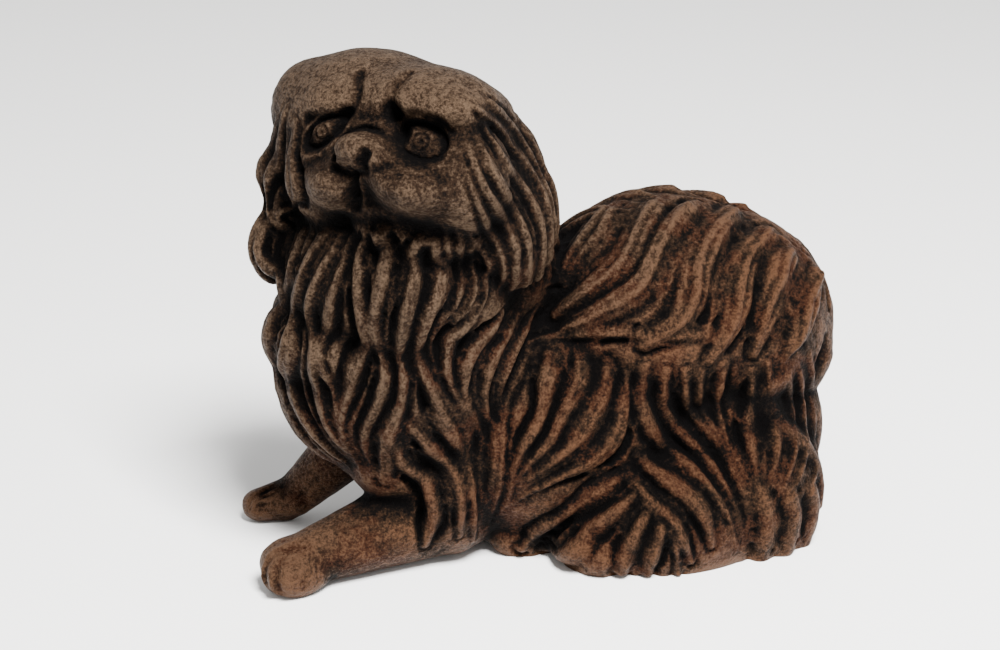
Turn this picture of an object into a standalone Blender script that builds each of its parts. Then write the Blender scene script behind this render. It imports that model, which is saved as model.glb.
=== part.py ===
"""Cast iron statue of a lying long-haired lap dog, its head turned to its left.

Metres, +Z up. The dog faces -X, its left side is -Y, and it rests on z = 0 with the
origin under the middle of its box. It is one casting, so it is one closed solid.
"""

import math
from collections import namedtuple

import bmesh
import bpy
import numpy as np
from mathutils import Matrix, Vector
from mathutils.bvhtree import BVHTree

NAME = "dog"
MM = 0.001

# Head frame: yaw is the turn from straight ahead (-X) towards the dog's left (-Y).
HEAD_CENTRE = Vector((-78, -20, 225)) * MM
HEAD_YAW = 48
HEAD_PITCH = 13
HEAD_ROLL = 4

FORM_VOXEL = 1.8 * MM
FORM_SMOOTH = 20
HEAD_SMOOTH = 40
COAT_VOXEL = 1.6 * MM
COAT_SMOOTH = 3
TRIANGLES = 9600
PATINA = (0.060, 0.035, 0.022, 1)
HEAD_REACH = 104  # no part of the head lies further from its centre, mm
PATH_STEPS = 30  # stations along a lock
LOCK_RISE = 1.5  # most height against half width
ROUNDNESS = 0.75  # power of a lock's cross-section: less is blunter
GROOVE_SHARE = 0.6  # most depth of the skin between locks against the locks' height
LEAN = 0.35  # most by which one flank of a lock stands higher than the other
MOAT = 1.6  # how far that sinking reaches past a lock, in half widths
FACING = 0.2  # a lock raises no skin that turns further than this cosine from its own
SOFT_BACK = 36  # in the head frame, nothing behind this is softened at the level of the eyes
FACE_BACK = -8  # face strokes reach no further back than this in the head frame
REACH = 16  # furthest a lock stands off the form

# Each mass: centre and half sizes in mm, then yaw, pitch and roll in degrees.
TORSO = (
    ((-76, 2, 118), (67, 55, 84), (0, 8, 0)),  # chest under the mane
    ((-102.5, 3, 105), (46, 46, 55), (0, 10, 0)),  # front of the mane
    ((-119.5, 1, 128), (35, 42, 30), (0, 0, 0)),  # beard
    ((-110, -4, 162), (36, 40, 43), (0, 0, 0)),  # beard under the jaw
    ((-87, -27, 164), (37, 32, 44), (0, 0, 0)),
    ((-62, -26, 160), (32, 30, 34), (0, 0, 0)),
    ((-88, -14, 66), (31, 28, 32), (0, 0, 0)),  # lower tier of the mane
    ((-66, -24, 48), (25, 22, 46), (0, -8, 0)),  # near elbow
    ((-66, 28, 48), (25, 22, 46), (0, -8, 0)),  # far elbow
    ((10, 0, 66), (90, 57, 76), (0, 0, 0)),  # ribs and belly
    ((86, 0, 54), (70.5, 59, 57), (0, 0, 0)),  # hindquarters
    ((-18, -24, 10), (24, 15, 16), (0, 0, 0)),
    ((-42, 4, 160), (46, 42, 48), (0, -20, 0)),  # neck
)
PLUME = (
    ((63, 0, 123), (77, 57, 66), (0, 2, 0)),
    ((110, 0, 141), (30, 46, 33), (0, 0, 0)),
    ((100, 0, 114), (63.5, 53, 60), (0, 40, 0)),
)
HAUNCH = (
    ((56, -45, 20), (58, 36, 44), (0, 0, 0)),
    ((101, -38, 24), (44.5, 38, 54), (0, 0, 0)),
    ((118, -30, 14), (28, 34, 24), (0, 0, 0)),
    ((19, -45, 11), (30, 30, 20), (0, 0, 0)),
)
# In the head frame: x to the dog's left, y backwards, z up.
HEAD = (
    ((-8, 13, 4), (57, 50, 46), (0, 0, 0)),  # skull
    ((-30, 6, 20), (54, 44, 38.3), (0, 0, 0)),  # crown
    ((4, 9, 18), (42, 38, 33), (0, 0, 0)),
    ((-62, 2, 25), (23, 27, 27), (0, 0, 0)),  # far temple
    ((4, -6, 31), (45, 32, 21), (0, 0, 0)),  # forehead
    ((24, -18, 31), (24, 20, 12), (0, 0, 0)),  # brows
    ((-32, -20, 31), (24, 20, 12), (0, 0, 0)),
    ((18, -30, -8), (25, 20, 14), (0, 0, 0)),  # flews
    ((-26, -31, -9), (18, 18, 15), (0, 0, 0)),
    ((-7, -36, 5), (21, 16, 12), (0, 0, 0)),  # muzzle
    ((-7, -48, 6), (14, 11, 9), (0, 0, 0)),  # nose
    ((-5, -26, -28), (20, 12, 9), (0, 0, 0)),  # chin
    ((35, -13, -4), (24, 25, 27), (0, 0, 0)),  # cheeks
    ((-42, -14, -4), (24, 26, 30), (0, 0, 0)),
    ((0, -4, -26), (45, 33, 26), (0, 0, 0)),  # jaw
)
EARS = (
    ((32, 11, 22), (16, 25, 19.5), (0, 0, 0)),
    ((38, 25, -16), (19, 31, 42), (0, 0, -6)),
    ((46.5, 29, -29), (16.5, 28, 34), (0, 0, 0)),
    ((-61, 0, 10), (20, 24, 32), (0, 0, 0)),
    ((-76, -4, -9), (14, 17, 16), (0, 0, 0)),
    ((-70, -5, -28), (13, 17, 14), (0, 0, 0)),
    ((-79, -3, -48), (15, 20, 21.5), (0, 0, 0)),
)
NEAR_LEG = ((-60, -12, 28), (-107, -24, 20), (-153, -36, 14)), (28, 20, 13.5)
FAR_LEG = ((-98, 34, 54), (-136, 43, 15), (-156, 47, 10)), (19.5, 12, 9.5)
TOES = (
    ((-150, -45, 11), (19, 9, 12), (14, 0, 0)),  # near paw
    ((-158, -38, 12), (13, 7.5, 14.5), (14, 0, 0)),
    ((-154, -29, 14), (17, 8, 13), (14, 0, 0)),
    ((-154, 46, 8), (12, 6.5, 8.5), (-6, 0, 0)),  # far paw
    ((-158, 49, 9), (8.5, 6.5, 9.5), (-6, 0, 0)),
    ((-143, 45, 8), (13, 8, 9), (-6, 0, 0)),
)

# Each coat of locks: how its guides are measured, number of locks, height, tip lift and sway in
# mm, half width against the space between locks, depth of the skin between locks in mm, then
# guides from first lock to last, each from root to tip.
#   "ring": degrees about the upright axis of the neck, height in mm; "rim" is the same from outside
#   "side": x and height in mm, seen from the dog's left
#   "over": x in mm, degrees about the lengthwise axis of the back (90 is the top)
#   "head": longitude and latitude in the head frame, degrees
Coat = namedtuple("Coat", "way locks height lift sway share groove guides")
COATS = {
    "rump": Coat("side", 5, 6, 0, 0, 0.46, 3, (
        ((98, 105), (99, 86), (96, 71), (95, 59), (96, 44)),
        ((109, 111), (113, 91), (116, 75), (113, 60), (104, 44)),
        ((122, 110), (128, 90), (130, 72), (126, 56), (116, 40)),
        ((134, 106), (139, 84), (141, 64), (137, 48), (128, 34)),
    )),
    "stern": Coat("ring", 5, 6, 0, 1, 0.46, 3, (
        ((166, 108), (165, 80), (165, 50), (166, 20)),
        ((180, 112), (181, 82), (179, 50), (180, 16)),
        ((194, 108), (195, 80), (195, 50), (194, 20)),
    )),
    "haunch": Coat("side", 5, 7, 0, 0, 0.5, 3.5, (
        ((37, 118), (36, 96), (38, 80), (49, 66), (61, 56), (71, 43), (79, 29), (84, 8)),
        ((58, 116), (60, 92), (67, 79), (78, 66), (83, 53), (88, 40), (91, 14)),
        ((81, 114), (79, 93), (80, 78), (84, 64), (90, 51), (94, 34)),
    )),
    "thigh": Coat("side", 3, 7, 1, 0, 0.48, 3, (
        ((33, 64), (40, 57), (52, 49), (62, 38), (69, 14)),
        ((28, 53), (35, 44), (46, 33), (57, 8)),
        ((30, 46), (38, 36), (46, 24), (50, 2)),
    )),
    "heel": Coat("side", 3, 5, 0, 0, 0.5, 3, (
        ((98, 42), (101, 24), (100, 0)),
        ((130, 38), (134, 22), (130, 0)),
    )),
    "flank": Coat("side", 4, 7, 1, 0, 0.47, 4, (
        ((-10, 126), (-15, 110), (-17, 99), (-21, 88), (-29, 75), (-34, 60), (-36, 36)),
        ((5, 128), (3, 111), (-2, 101), (-9, 90), (-15, 78), (-24, 67), (-33, 54)),
        ((19, 126), (18, 106), (12, 96), (6, 86), (-2, 76), (-13, 66), (-28, 54)),
        ((28, 116), (26, 96), (23, 83), (18, 72), (8, 64), (-4, 59), (-17, 52), (-29, 44),
         (-39, 33)),
    )),
    "foot": Coat("side", 4, 6, 0, 0, 0.47, 3, (
        ((28, 56), (16, 49), (5, 41), (-6, 31), (-16, 23), (-26, 12)),
        ((31, 49), (20, 40), (11, 31), (4, 19), (0, 4)),
        ((34, 41), (28, 31), (23, 20), (20, 4)),
        ((40, 34), (37, 23), (35, 14), (33, 2)),
    )),
    "feather": Coat("side", 3, 9, 1, 0, 0.44, 5, (
        ((-98, 86), (-93, 70), (-82, 59), (-78, 49), (-77, 35), (-81, 18)),
        ((-88, 90), (-77, 76), (-68, 65), (-64, 54), (-62, 41), (-62, 18)),
        ((-77, 98), (-69, 85), (-61, 73), (-57, 60), (-55, 42), (-53, 14)),
    )),
    "mane": Coat("ring", 8, 9, 0, 1.5, 0.41, 5, (
        ((7, 188), (12, 165), (-1, 138), (0, 112), (5, 92), (12, 62)),
        ((21, 188), (19, 165), (12, 146), (13, 130), (11, 111), (15, 96), (20, 82), (24, 62)),
        ((31, 192), (28, 170), (22, 150), (24, 135), (27, 112), (28, 88), (33, 62)),
        ((38, 194), (35, 172), (29, 156), (28, 141), (32, 125), (33, 104), (31, 84), (34, 62)),
        ((46, 199), (46, 174), (45, 150), (42, 129), (41, 112), (36, 96), (33, 84), (35, 58)),
        ((56, 200), (55, 174), (53, 150), (59, 124), (58, 112), (48, 98), (40, 88), (40, 74),
         (45, 54)),
        ((74, 196), (72, 180), (65, 160), (65, 138), (69, 119), (68, 108), (60, 96), (53, 86),
         (50, 56)),
        ((79, 199), (84, 186), (82, 172), (76, 154), (76, 132), (82, 113), (93, 95),
         (101, 76), (106, 44)),
    )),
    "beard": Coat("ring", 4, 9, 2, 1, 0.42, 5, (
        ((84, 199), (89, 188), (91, 176), (87, 165), (79, 154)),
        ((89, 197), (96, 185), (98, 173), (94, 161), (86, 152)),
        ((95, 194), (104, 181), (105, 168), (100, 158), (93, 150)),
        ((103, 190), (112, 178), (111, 165), (106, 155), (100, 148)),
    )),
    "shoulder": Coat("ring", 5, 9, 0, 1.5, 0.42, 5, (
        ((106, 153), (96, 143), (87, 134), (85, 121), (91, 110), (100, 96), (109, 75), (112, 40)),
        ((127, 148), (114, 137), (101, 129), (97, 114), (104, 99), (112, 83), (116, 58), (118, 20)),
        ((141, 143), (128, 132), (116, 123), (112, 108), (118, 92), (120, 76), (121, 22)),
        ((154, 141), (143, 128), (130, 121), (124, 106), (124, 88), (121, 66), (123, 18)),
        ((158, 130), (144, 122), (134, 110), (128, 98), (124, 78), (124, 54), (126, 14)),
    )),
    "far mane": Coat("ring", 12, 9, 0, 1.5, 0.42, 5, (
        ((-8, 190), (-2, 168), (1, 145), (-4, 114), (2, 86), (2, 60)),
        ((-40, 192), (-30, 168), (-34, 145), (-34, 116), (-26, 90), (-20, 62)),
        ((-76, 188), (-66, 168), (-72, 145), (-66, 118), (-58, 95), (-46, 64)),
        ((-100, 190), (-96, 165), (-90, 140), (-94, 115), (-104, 88), (-110, 50)),
        ((-130, 170), (-112, 145), (-106, 120), (-112, 90), (-121, 24)),
        ((-152, 150), (-140, 122), (-137, 106), (-128, 84), (-124, 54), (-128, 14)),
    )),
    "plume": Coat("over", 7, 7, 1, 0, 0.49, 3.5, (
        ((38, 96), (21, 82), (6, 74), (-12, 58)),
        ((58, 88), (42, 71), (28, 59), (14, 54), (-8, 46)),
        ((82, 86), (59, 70), (46, 58), (36, 46), (18, 39), (-14, 28)),
        ((105, 88), (80, 64), (68, 51), (62, 39), (53, 27), (34, 16)),
        ((121, 76), (102, 60), (94, 46), (89, 32), (81, 18), (70, 2)),
        ((132, 66), (116, 48), (109, 33), (104, 21), (97, 4)),
        ((146, 62), (136, 38), (128, 20), (116, -2)),
    )),
    "near ear": Coat("side", 6, 5, 0, 0, 0.46, 4, (
        ((-67, 238), (-60, 221), (-53, 206), (-45, 191), (-41, 176), (-43, 156)),
        ((-63, 247), (-57, 229), (-48, 215), (-38, 197), (-35, 182), (-35, 152)),
        ((-58, 254), (-52, 237), (-43, 221), (-32, 200), (-28, 182), (-27, 152)),
        ((-54, 258), (-46, 243), (-34, 225), (-23, 209), (-19, 190), (-19, 156)),
        ((-58, 266), (-40, 249), (-27, 229), (-18, 216), (-14, 198), (-12, 164)),
        ((-50, 268), (-34, 250), (-23, 233), (-17, 219), (-12, 206), (-8, 176)),
    )),
    "far ear": Coat("rim", 6, 6, 0, 0, 0.46, 4, (
        ((5, 248), (4, 238), (9, 223), (7, 211), (-3, 197), (0, 183), (4, 172), (9, 158)),
        ((-5, 254), (-6, 241), (-8, 229), (-10, 215), (-11, 202), (-5, 192), (-1, 181), (1, 164)),
        ((-10, 246), (-16, 230), (-18, 217), (-17, 206), (-14, 197), (-9, 189), (-8, 179),
         (-8, 162)),
        ((-22, 246), (-28, 228), (-28, 214), (-24, 202), (-21, 191), (-19, 178), (-18, 160)),
        ((-34, 246), (-38, 226), (-36, 208), (-33, 192), (-31, 178), (-30, 160)),
        ((-46, 246), (-49, 226), (-47, 208), (-44, 192), (-42, 178), (-41, 160)),
    )),
    "far ear back": Coat("head", 3, 7, 0, 0.5, 0.44, 4, (
        ((-102, 38), (-104, 14), (-106, -10), (-106, -28), (-102, -46)),
        ((-124, 42), (-128, 14), (-128, -10), (-124, -28), (-116, -46)),
    )),
    "nape": Coat("ring", 9, 5, 1, 1, 0.46, 3, (
        ((152, 226), (154, 202), (157, 176), (160, 154)),
        ((200, 234), (200, 206), (198, 180), (196, 160)),
        ((248, 228), (250, 200), (252, 172), (250, 148)),
        ((276, 214), (280, 188), (284, 162), (282, 138)),
    )),
}
MIRRORED = ("rump", "haunch", "thigh", "heel", "flank", "foot", "plume", "feather")


def loop(x, z, across, up, fall, count=24):
    """Closed path round an eye, falling towards +x by the given slope."""
    turns = [2 * math.pi * i / count for i in range(count + 1)]
    return [
        (x + across * math.cos(a), z + up * math.sin(a) - fall * across * math.cos(a))
        for a in turns
    ]


# Strokes on the face: (x, z) points in the head frame, radius and depth in mm. A negative
# depth raises.
FACE = (
    (((10, 16), (21, 15), (32, 13)), 14, 4.5),  # eye sockets
    (((-26, 17), (-35, 15), (-43, 12)), 11, 3.5),
    (((4, 29), (4.5, 22), (7, 14)), 6.5, 4.5),  # inner corners
    (((-23, 25), (-25, 19)), 5, 2.5),
    (((2, 28), (9, 25), (18, 24), (28, 23)), 5.5, 4.5),  # under the brows
    (((24, 23.5), (33, 22.5), (41, 18)), 5, 2),
    (((-21, 26), (-28, 25), (-36, 23.5), (-43, 22)), 4.5, 3),
    (((7, 46), (3.5, 39), (2, 32), (3, 27)), 4, 3.5),  # creases between the brows
    (((-20, 44), (-17, 36), (-19, 29), (-23, 25)), 4, 3),
    (((19, 14.5), (24, 14)), 9.5, -5.5),  # eyeballs
    (((-38, 13.5), (-34, 15)), 8.5, -4.5),
    (((-28, 5), (-22, 13), (-12, 17), (-1, 14), (4, 7)), 3.5, -1.5),  # fold over the nose
    (((-19, 0), (-11, -2.5), (-4, 0)), 3.4, 3),  # under the nose
    (((9, -7), (20, -11)), 17, -6),  # flews
    (((-25, -8), (-32, -12)), 14, -4),
    (((-9, -4), (-11, -10)), 2.6, 3),  # parting of the lips
    (((-12, -13), (-13.5, -20)), 4.2, 5.5),  # mouth
    (((-24, -29), (-7, -28), (11, -29), (24, -31), (36, -34), (46, -43)), 7.5, 5.5),  # jaw
    (loop(21, 14.5, 12, 8.5, 0.2), 2.8, 2.6),  # round the eyes
    (loop(-36.5, 14.5, 10.5, 6.5, -0.5), 2.6, 2.4),
    (((-23, 5), (-19, 11), (-12, 14), (-4, 12), (0.5, 6)), 2.8, 2.2),  # round the nose
    (((-21, 5), (-22, 9)), 3.4, 3),  # nostrils
    (((-3, 3.5), (-0.5, 8)), 4.6, 4.5),
)
# Grooves between the toes: (x, y, z) points, radius and depth.
TOE_GROOVES = (
    (((-163, -52, 3), (-164, -52, 12), (-164, -49, 21), (-157, -44, 27),
     (-144, -43, 29)), 3.5, 3.2),
    (((-170, -44, 8), (-170, -42, 18), (-163, -41, 26), (-152, -40, 28)), 3.2, 2.8),
    (((-152, -57, 3), (-151, -56, 12), (-146, -53, 20)), 3, 2),
    (((-166, 40, 4), (-165, 41, 13), (-160, 42, 19), (-152, 43, 21)), 2.8, 2.6),
    (((-161, 37, 3), (-159, 37, 11), (-154, 39, 17)), 2.6, 2.2),
    (((-135, 31, 22), (-134, 30, 15), (-131, 31, 7)), 3, 2),
)


def wobble(seed, index):
    """A repeatable number between -1 and 1."""
    return 2 * (math.sin(seed * 12.9898 + index * 78.233) * 43758.5453 % 1) - 1


def turned(yaw=0, pitch=0, roll=0):
    """Rotation of a mass: roll about X, then pitch about Y, then yaw about Z, in degrees."""
    return (
        Matrix.Rotation(math.radians(yaw), 4, "Z")
        @ Matrix.Rotation(math.radians(pitch), 4, "Y")
        @ Matrix.Rotation(math.radians(roll), 4, "X")
    )


def head_frame():
    """Matrix from head axes (x to the dog's left, y backwards, z up) to the statue's."""
    return (
        Matrix.Translation(HEAD_CENTRE)
        @ Matrix.Rotation(math.radians(HEAD_YAW - 90), 4, "Z")
        @ Matrix.Rotation(math.radians(-HEAD_PITCH), 4, "X")
        @ Matrix.Rotation(math.radians(-HEAD_ROLL), 4, "Y")
    )


def unit_ball():
    """A round mesh that every mass is stretched from."""
    bm = bmesh.new()
    bmesh.ops.create_icosphere(bm, subdivisions=4, radius=1)
    ball = bpy.data.meshes.new("ball")
    bm.to_mesh(ball)
    bm.free()
    return ball


def add_ellipsoid(bm, frame, centre, half, turn=(0, 0, 0)):
    """One ellipsoid, its centre and half sizes in mm within the given frame."""
    size = Matrix.Diagonal((*(Vector(half) * MM), 1))
    place = frame @ Matrix.Translation(Vector(centre) * MM) @ turned(*turn) @ size
    first = len(bm.verts)
    bm.from_mesh(bpy.data.meshes["ball"])
    bm.verts.ensure_lookup_table()
    bmesh.ops.transform(bm, matrix=place, verts=bm.verts[first:])


def add_limb(bm, points, radii, beads=10):
    """A limb as a run of overlapping balls between (x, y, z) points in mm."""
    for (a, b), (ra, rb) in zip(zip(points, points[1:]), zip(radii, radii[1:])):
        for i in range(beads + 1):
            t = i / beads
            centre = Vector(a).lerp(Vector(b), t)
            r = ra + (rb - ra) * t
            add_ellipsoid(bm, Matrix.Identity(4), centre, (r, r, r))


def mirrored(masses):
    """The same masses on the dog's right side."""
    return tuple(
        ((x, -y, z), half, (-yaw, pitch, -roll)) for (x, y, z), half, (yaw, pitch, roll) in masses
    )


def fused(name, mesh, voxel, smoothing):
    """One closed skin over every overlapping body of a mesh."""
    body = bpy.data.objects.new(name, mesh)
    bpy.context.scene.collection.objects.link(body)
    remesh = body.modifiers.new("fuse", "REMESH")
    remesh.mode = "VOXEL"
    remesh.voxel_size = voxel
    smooth = body.modifiers.new("soften", "SMOOTH")
    smooth.factor = 0.5
    smooth.iterations = smoothing
    depsgraph = bpy.context.evaluated_depsgraph_get()
    skin = bpy.data.meshes.new_from_object(body.evaluated_get(depsgraph))
    bpy.data.objects.remove(body)
    return skin


def edge_ends(mesh):
    """The two vertices of every edge."""
    edges = np.empty(len(mesh.edges) * 2, np.int32)
    mesh.edges.foreach_get("vertices", edges)
    return edges.reshape(-1, 2)


def vertex_normals(mesh):
    """Outward direction at every vertex."""
    normals = np.empty(len(mesh.vertices) * 3, np.float32)
    mesh.vertex_normals.foreach_get("vector", normals)
    return normals.reshape(-1, 3)


def vertex_places(mesh):
    """Place of every vertex."""
    places = np.empty(len(mesh.vertices) * 3, np.float32)
    mesh.vertices.foreach_get("co", places)
    return places.reshape(-1, 3)


def set_places(mesh, places):
    """Put every vertex at its new place."""
    mesh.vertices.foreach_set("co", places.astype(np.float32).ravel())
    mesh.update()


def blurred(values, edges, passes):
    """Values averaged with their neighbours' along the mesh's edges."""
    count = len(values)
    degree = np.bincount(edges.ravel(), minlength=count)
    for _ in range(passes):
        total = np.bincount(edges[:, 0], values[edges[:, 1]], count)
        total += np.bincount(edges[:, 1], values[edges[:, 0]], count)
        values = (values + total / degree) / 2
    return values


def in_head(mesh):
    """Vertex places in the head frame, mm."""
    inner = np.array(head_frame().inverted())
    return (vertex_places(mesh) @ inner[:3, :3].T + inner[:3, 3]) / MM


def build_form():
    """The smooth body under the fur."""
    unit_ball()
    bm = bmesh.new()
    world = Matrix.Identity(4)
    for centre, half, turn in TORSO + PLUME + HAUNCH + mirrored(HAUNCH) + TOES:
        add_ellipsoid(bm, world, centre, half, turn)
    head = head_frame()
    for centre, half, turn in HEAD + EARS:
        add_ellipsoid(bm, head, centre, half, turn)
    add_limb(bm, *NEAR_LEG)
    add_limb(bm, *FAR_LEG)
    mesh = bpy.data.meshes.new("masses")
    bm.to_mesh(mesh)
    bm.free()
    return softened(fused("form", mesh, FORM_VOXEL, FORM_SMOOTH), HEAD_SMOOTH)


def softened(form, passes):
    """Smooth the face and crown further, so that their masses flow together."""
    places = vertex_places(form).astype(float)
    own = in_head(form)
    back = SOFT_BACK + 1.3 * np.clip(own[:, 2], 0, None)
    share = np.clip((own[:, 2] + 32) / 12, 0, 1) * np.clip((back - own[:, 1]) / 20, 0, 1)
    edges = edge_ends(form)
    soft = np.stack([blurred(part, edges, passes) for part in places.T], axis=1)
    set_places(form, places + (soft - places) * share[:, None])
    return form


def tree_of(mesh):
    """Ray caster over a mesh."""
    bm = bmesh.new()
    bm.from_mesh(mesh)
    tree = BVHTree.FromBMesh(bm)
    bm.free()
    return tree


def cast(tree, way, u, v, mirror, head):
    """Point and outward normal of the form at one guide coordinate."""
    if way == "side":
        start, heading = Vector((u, -300, max(v, 1))), Vector((0, 1, 0))
    elif way in ("ring", "rim"):
        angle = math.radians(u)
        start, heading = Vector((-70, 0, v)), Vector((-math.cos(angle), -math.sin(angle), 0))
        if way == "rim":
            start, heading = start + 300 * heading, -heading
    elif way == "over":
        angle = math.radians(v)
        start, heading = Vector((u, 0, 110)), Vector((0, -math.cos(angle), math.sin(angle)))
    else:
        lon, lat = math.radians(u), math.radians(v)
        start = head.translation / MM
        level = Vector((math.sin(lon), -math.cos(lon), 0)) * math.cos(lat)
        heading = head.to_3x3() @ (level + Vector((0, 0, math.sin(lat))))
    if mirror:
        start.y, heading.y = -start.y, -heading.y
    reach = HEAD_REACH if way == "head" else 400
    point, normal, _, _ = tree.ray_cast(start * MM, heading, reach * MM)
    return None if point is None else (*point, *normal)


def resampled(points, count):
    """Points evenly along a smooth curve through the given ones."""
    points = np.array(points, float)
    ends = np.concatenate([[2 * points[0] - points[1]], points, [2 * points[-1] - points[-2]]])
    curve = []
    for a, b, c, d in zip(ends, ends[1:], ends[2:], ends[3:]):
        for t in np.linspace(0, 1, 12, endpoint=False):
            curve.append(
                0.5 * (2 * b + (c - a) * t + (2 * a - 5 * b + 4 * c - d) * t**2
                       + (3 * b - a - 3 * c + d) * t**3)
            )
    curve = np.array(curve + [points[-1]])
    run = np.concatenate([[0], np.cumsum(np.linalg.norm(np.diff(curve, axis=0), axis=1))])
    even = np.linspace(0, run[-1], count)
    return np.stack([np.interp(even, run, curve[:, i]) for i in range(curve.shape[1])], axis=1)


def lay_paths(tree, coat, seed, mirror, head):
    """Centre lines of one coat's locks on the form, with the form's normals."""
    rows = np.array([resampled(guide, PATH_STEPS) for guide in coat.guides])
    paths = []
    for i in range(coat.locks):
        loose = 0 < i < coat.locks - 1 and coat.locks > len(coat.guides)
        inner = 0.22 * wobble(seed + 7, i) if loose else 0
        f = (i + inner) * (len(rows) - 1) / (coat.locks - 1)
        low = min(int(f), len(rows) - 2)
        row = rows[low] + (rows[low + 1] - rows[low]) * (f - low)
        start = 0.02 * (1 + wobble(seed + 3, i))
        end = 0.96 + 0.04 * wobble(seed + 9, i)
        spots = np.linspace(start, end, PATH_STEPS) * (PATH_STEPS - 1)
        row = np.stack([np.interp(spots, range(PATH_STEPS), part) for part in row.T], axis=1)
        hits = [cast(tree, coat.way, u, v, mirror, head) for u, v in row]
        hits = resampled([hit for hit in hits if hit], PATH_STEPS)
        points, normals = hits[:, :3] / MM, hits[:, 3:]
        for _ in range(8):
            normals[1:-1] += normals[:-2] + normals[2:]
            normals /= np.linalg.norm(normals, axis=1, keepdims=True)
        for _ in range(2):
            points[1:-1] = (points[:-2] + 2 * points[1:-1] + points[2:]) / 4
        t = np.linspace(0, 1, PATH_STEPS)
        side = np.cross(np.gradient(points, axis=0), normals)
        side /= np.linalg.norm(side, axis=1, keepdims=True) + 1e-9
        wave = coat.sway * np.sin(2 * math.pi * (1.4 * t + 0.1 * wobble(seed, i)))
        points += side * (wave * np.sin(math.pi * t))[:, None]
        paths.append((points, normals, side))
    return paths


def gap_to(path, other):
    """How far one centre line runs beside another, at every point of the first."""
    points, _, side = path
    apart = other[0][None] - points[:, None]
    nearest = apart[np.arange(len(points)), np.linalg.norm(apart, axis=2).argmin(axis=1)]
    return np.abs((nearest * side).sum(axis=1))


def lock_sizes(paths, index, coat, seed):
    """Half widths and heights along one lock, from how far its neighbours lie."""
    beside = [paths[i] for i in (index - 1, index + 1) if 0 <= i < len(paths)]
    gap = np.mean([gap_to(paths[index], other) for other in beside], axis=0)
    t = np.linspace(0, 1, len(gap))
    width = np.clip(coat.share * gap * (1 + 0.12 * wobble(seed + 11, index)), 3, 13)
    width *= np.interp(t, (0, 0.12, 0.75, 1), (0.7, 1, 0.95, 0.45))
    height = coat.height * (1 + 0.15 * wobble(seed + 5, index))
    rise = np.interp(t, (0, 0.1, 0.85, 1), (0.2, 1, 0.9, 0.4))
    rise *= np.minimum(height, LOCK_RISE * width)
    return width, rise


def lay_locks(tree, head):
    """Every lock as its coat, its lean and its rows.

    A row is a place, the outward and sideways directions, half width and rise. The coats in
    MIRRORED are repeated on the dog's right side.
    """
    locks = []
    t = np.linspace(0, 1, PATH_STEPS)
    fine = np.linspace(0, 1, 3 * PATH_STEPS)
    for seed, (name, coat) in enumerate(COATS.items()):
        for mirror in (False, True) if name in MIRRORED else (False,):
            paths = lay_paths(tree, coat, seed, mirror, head)
            for i, path in enumerate(paths):
                width, rise = lock_sizes(paths, i, coat, seed)
                rows = np.column_stack([*path, width, rise + coat.lift * t**3])
                rows = np.column_stack([np.interp(fine, t, part) for part in rows.T])
                locks.append((coat, wobble(seed + 13, i), rows))
    return locks


def fur_height(places, normals, locks):
    """How far the coat stands off the form at every place, in mm: the highest lock wins."""
    height = np.full(len(places), -np.inf)
    for coat, twist, rows in locks:
        centre, out, side = rows[:, :3], rows[:, 3:6], rows[:, 6:9]
        reach = MOAT * rows[:, 9].max()
        low, high = centre.min(axis=0) - reach, centre.max(axis=0) + reach
        near = np.flatnonzero(np.all((places > low) & (places < high), axis=1))
        apart = places[near, None] - centre
        step = (apart**2).sum(axis=2).argmin(axis=1)
        apart = apart[np.arange(len(near)), step]
        width, rise = rows[step, 9], rows[step, 10]
        across = (apart * side[step]).sum(axis=1)
        level = (apart * out[step]).sum(axis=1)
        beyond = np.clip((apart**2).sum(axis=1) - across**2 - level**2 - 2, 0, None)
        r = np.sqrt(across**2 + beyond) / width
        sink = np.minimum(coat.groove, GROOVE_SHARE * rise)
        edge = np.clip((MOAT - r) / (MOAT - 1), 0, 1)
        value = rise * np.clip(1 - r**2, 0, 1) ** ROUNDNESS - sink * edge**2 * (3 - 2 * edge)
        u = across / width
        value *= 1 + LEAN * twist * np.clip(u, -1, 1)
        facing = (normals[near] * out[step]).sum(axis=1) > FACING
        value[~facing | (r > MOAT)] = -np.inf
        height[near] = np.maximum(height[near], value)
    return np.where(np.isinf(height), 0, height)


def raise_coats(mesh, tree, locks):
    """Move the skin out to the locks and in between them."""
    places, normals = vertex_places(mesh), vertex_normals(mesh)
    height = fur_height(places / MM, normals, locks)
    for index in np.flatnonzero(height > 1):
        out = Vector(normals[index])
        over = tree.ray_cast(Vector(places[index]) + out * 0.5 * MM, out, 2 * REACH * MM)[3]
        if over is not None:
            height[index] = min(height[index], max(over / MM / 2, 1))
    set_places(mesh, places + normals * (height * MM)[:, None])


def carve(places, path, radius, depth):
    """Press a rounded groove along a path on the face; a negative depth raises a ridge."""
    stops = resampled(path, 6 * len(path))
    box = np.all(
        (places[:, ::2] > stops.min(axis=0) - radius)
        & (places[:, ::2] < stops.max(axis=0) + radius),
        axis=1,
    )
    near = np.flatnonzero(box & (places[:, 1] < FACE_BACK))
    if not len(near):
        return
    apart = np.linalg.norm(places[near, None, ::2] - stops[None], axis=2).min(axis=1)
    fall = np.clip(1 - (apart / radius) ** 2, 0, 1) ** 2
    places[near, 1] += fall * depth


def carve_face(mesh, strokes):
    """Press strokes straight back into the face, such as eyes, brows, nose and lips."""
    places, matrix = in_head(mesh), np.array(head_frame())
    for path, radius, depth in strokes:
        carve(places, path, radius, depth)
    set_places(mesh, places * MM @ matrix[:3, :3].T + matrix[:3, 3])


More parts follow.
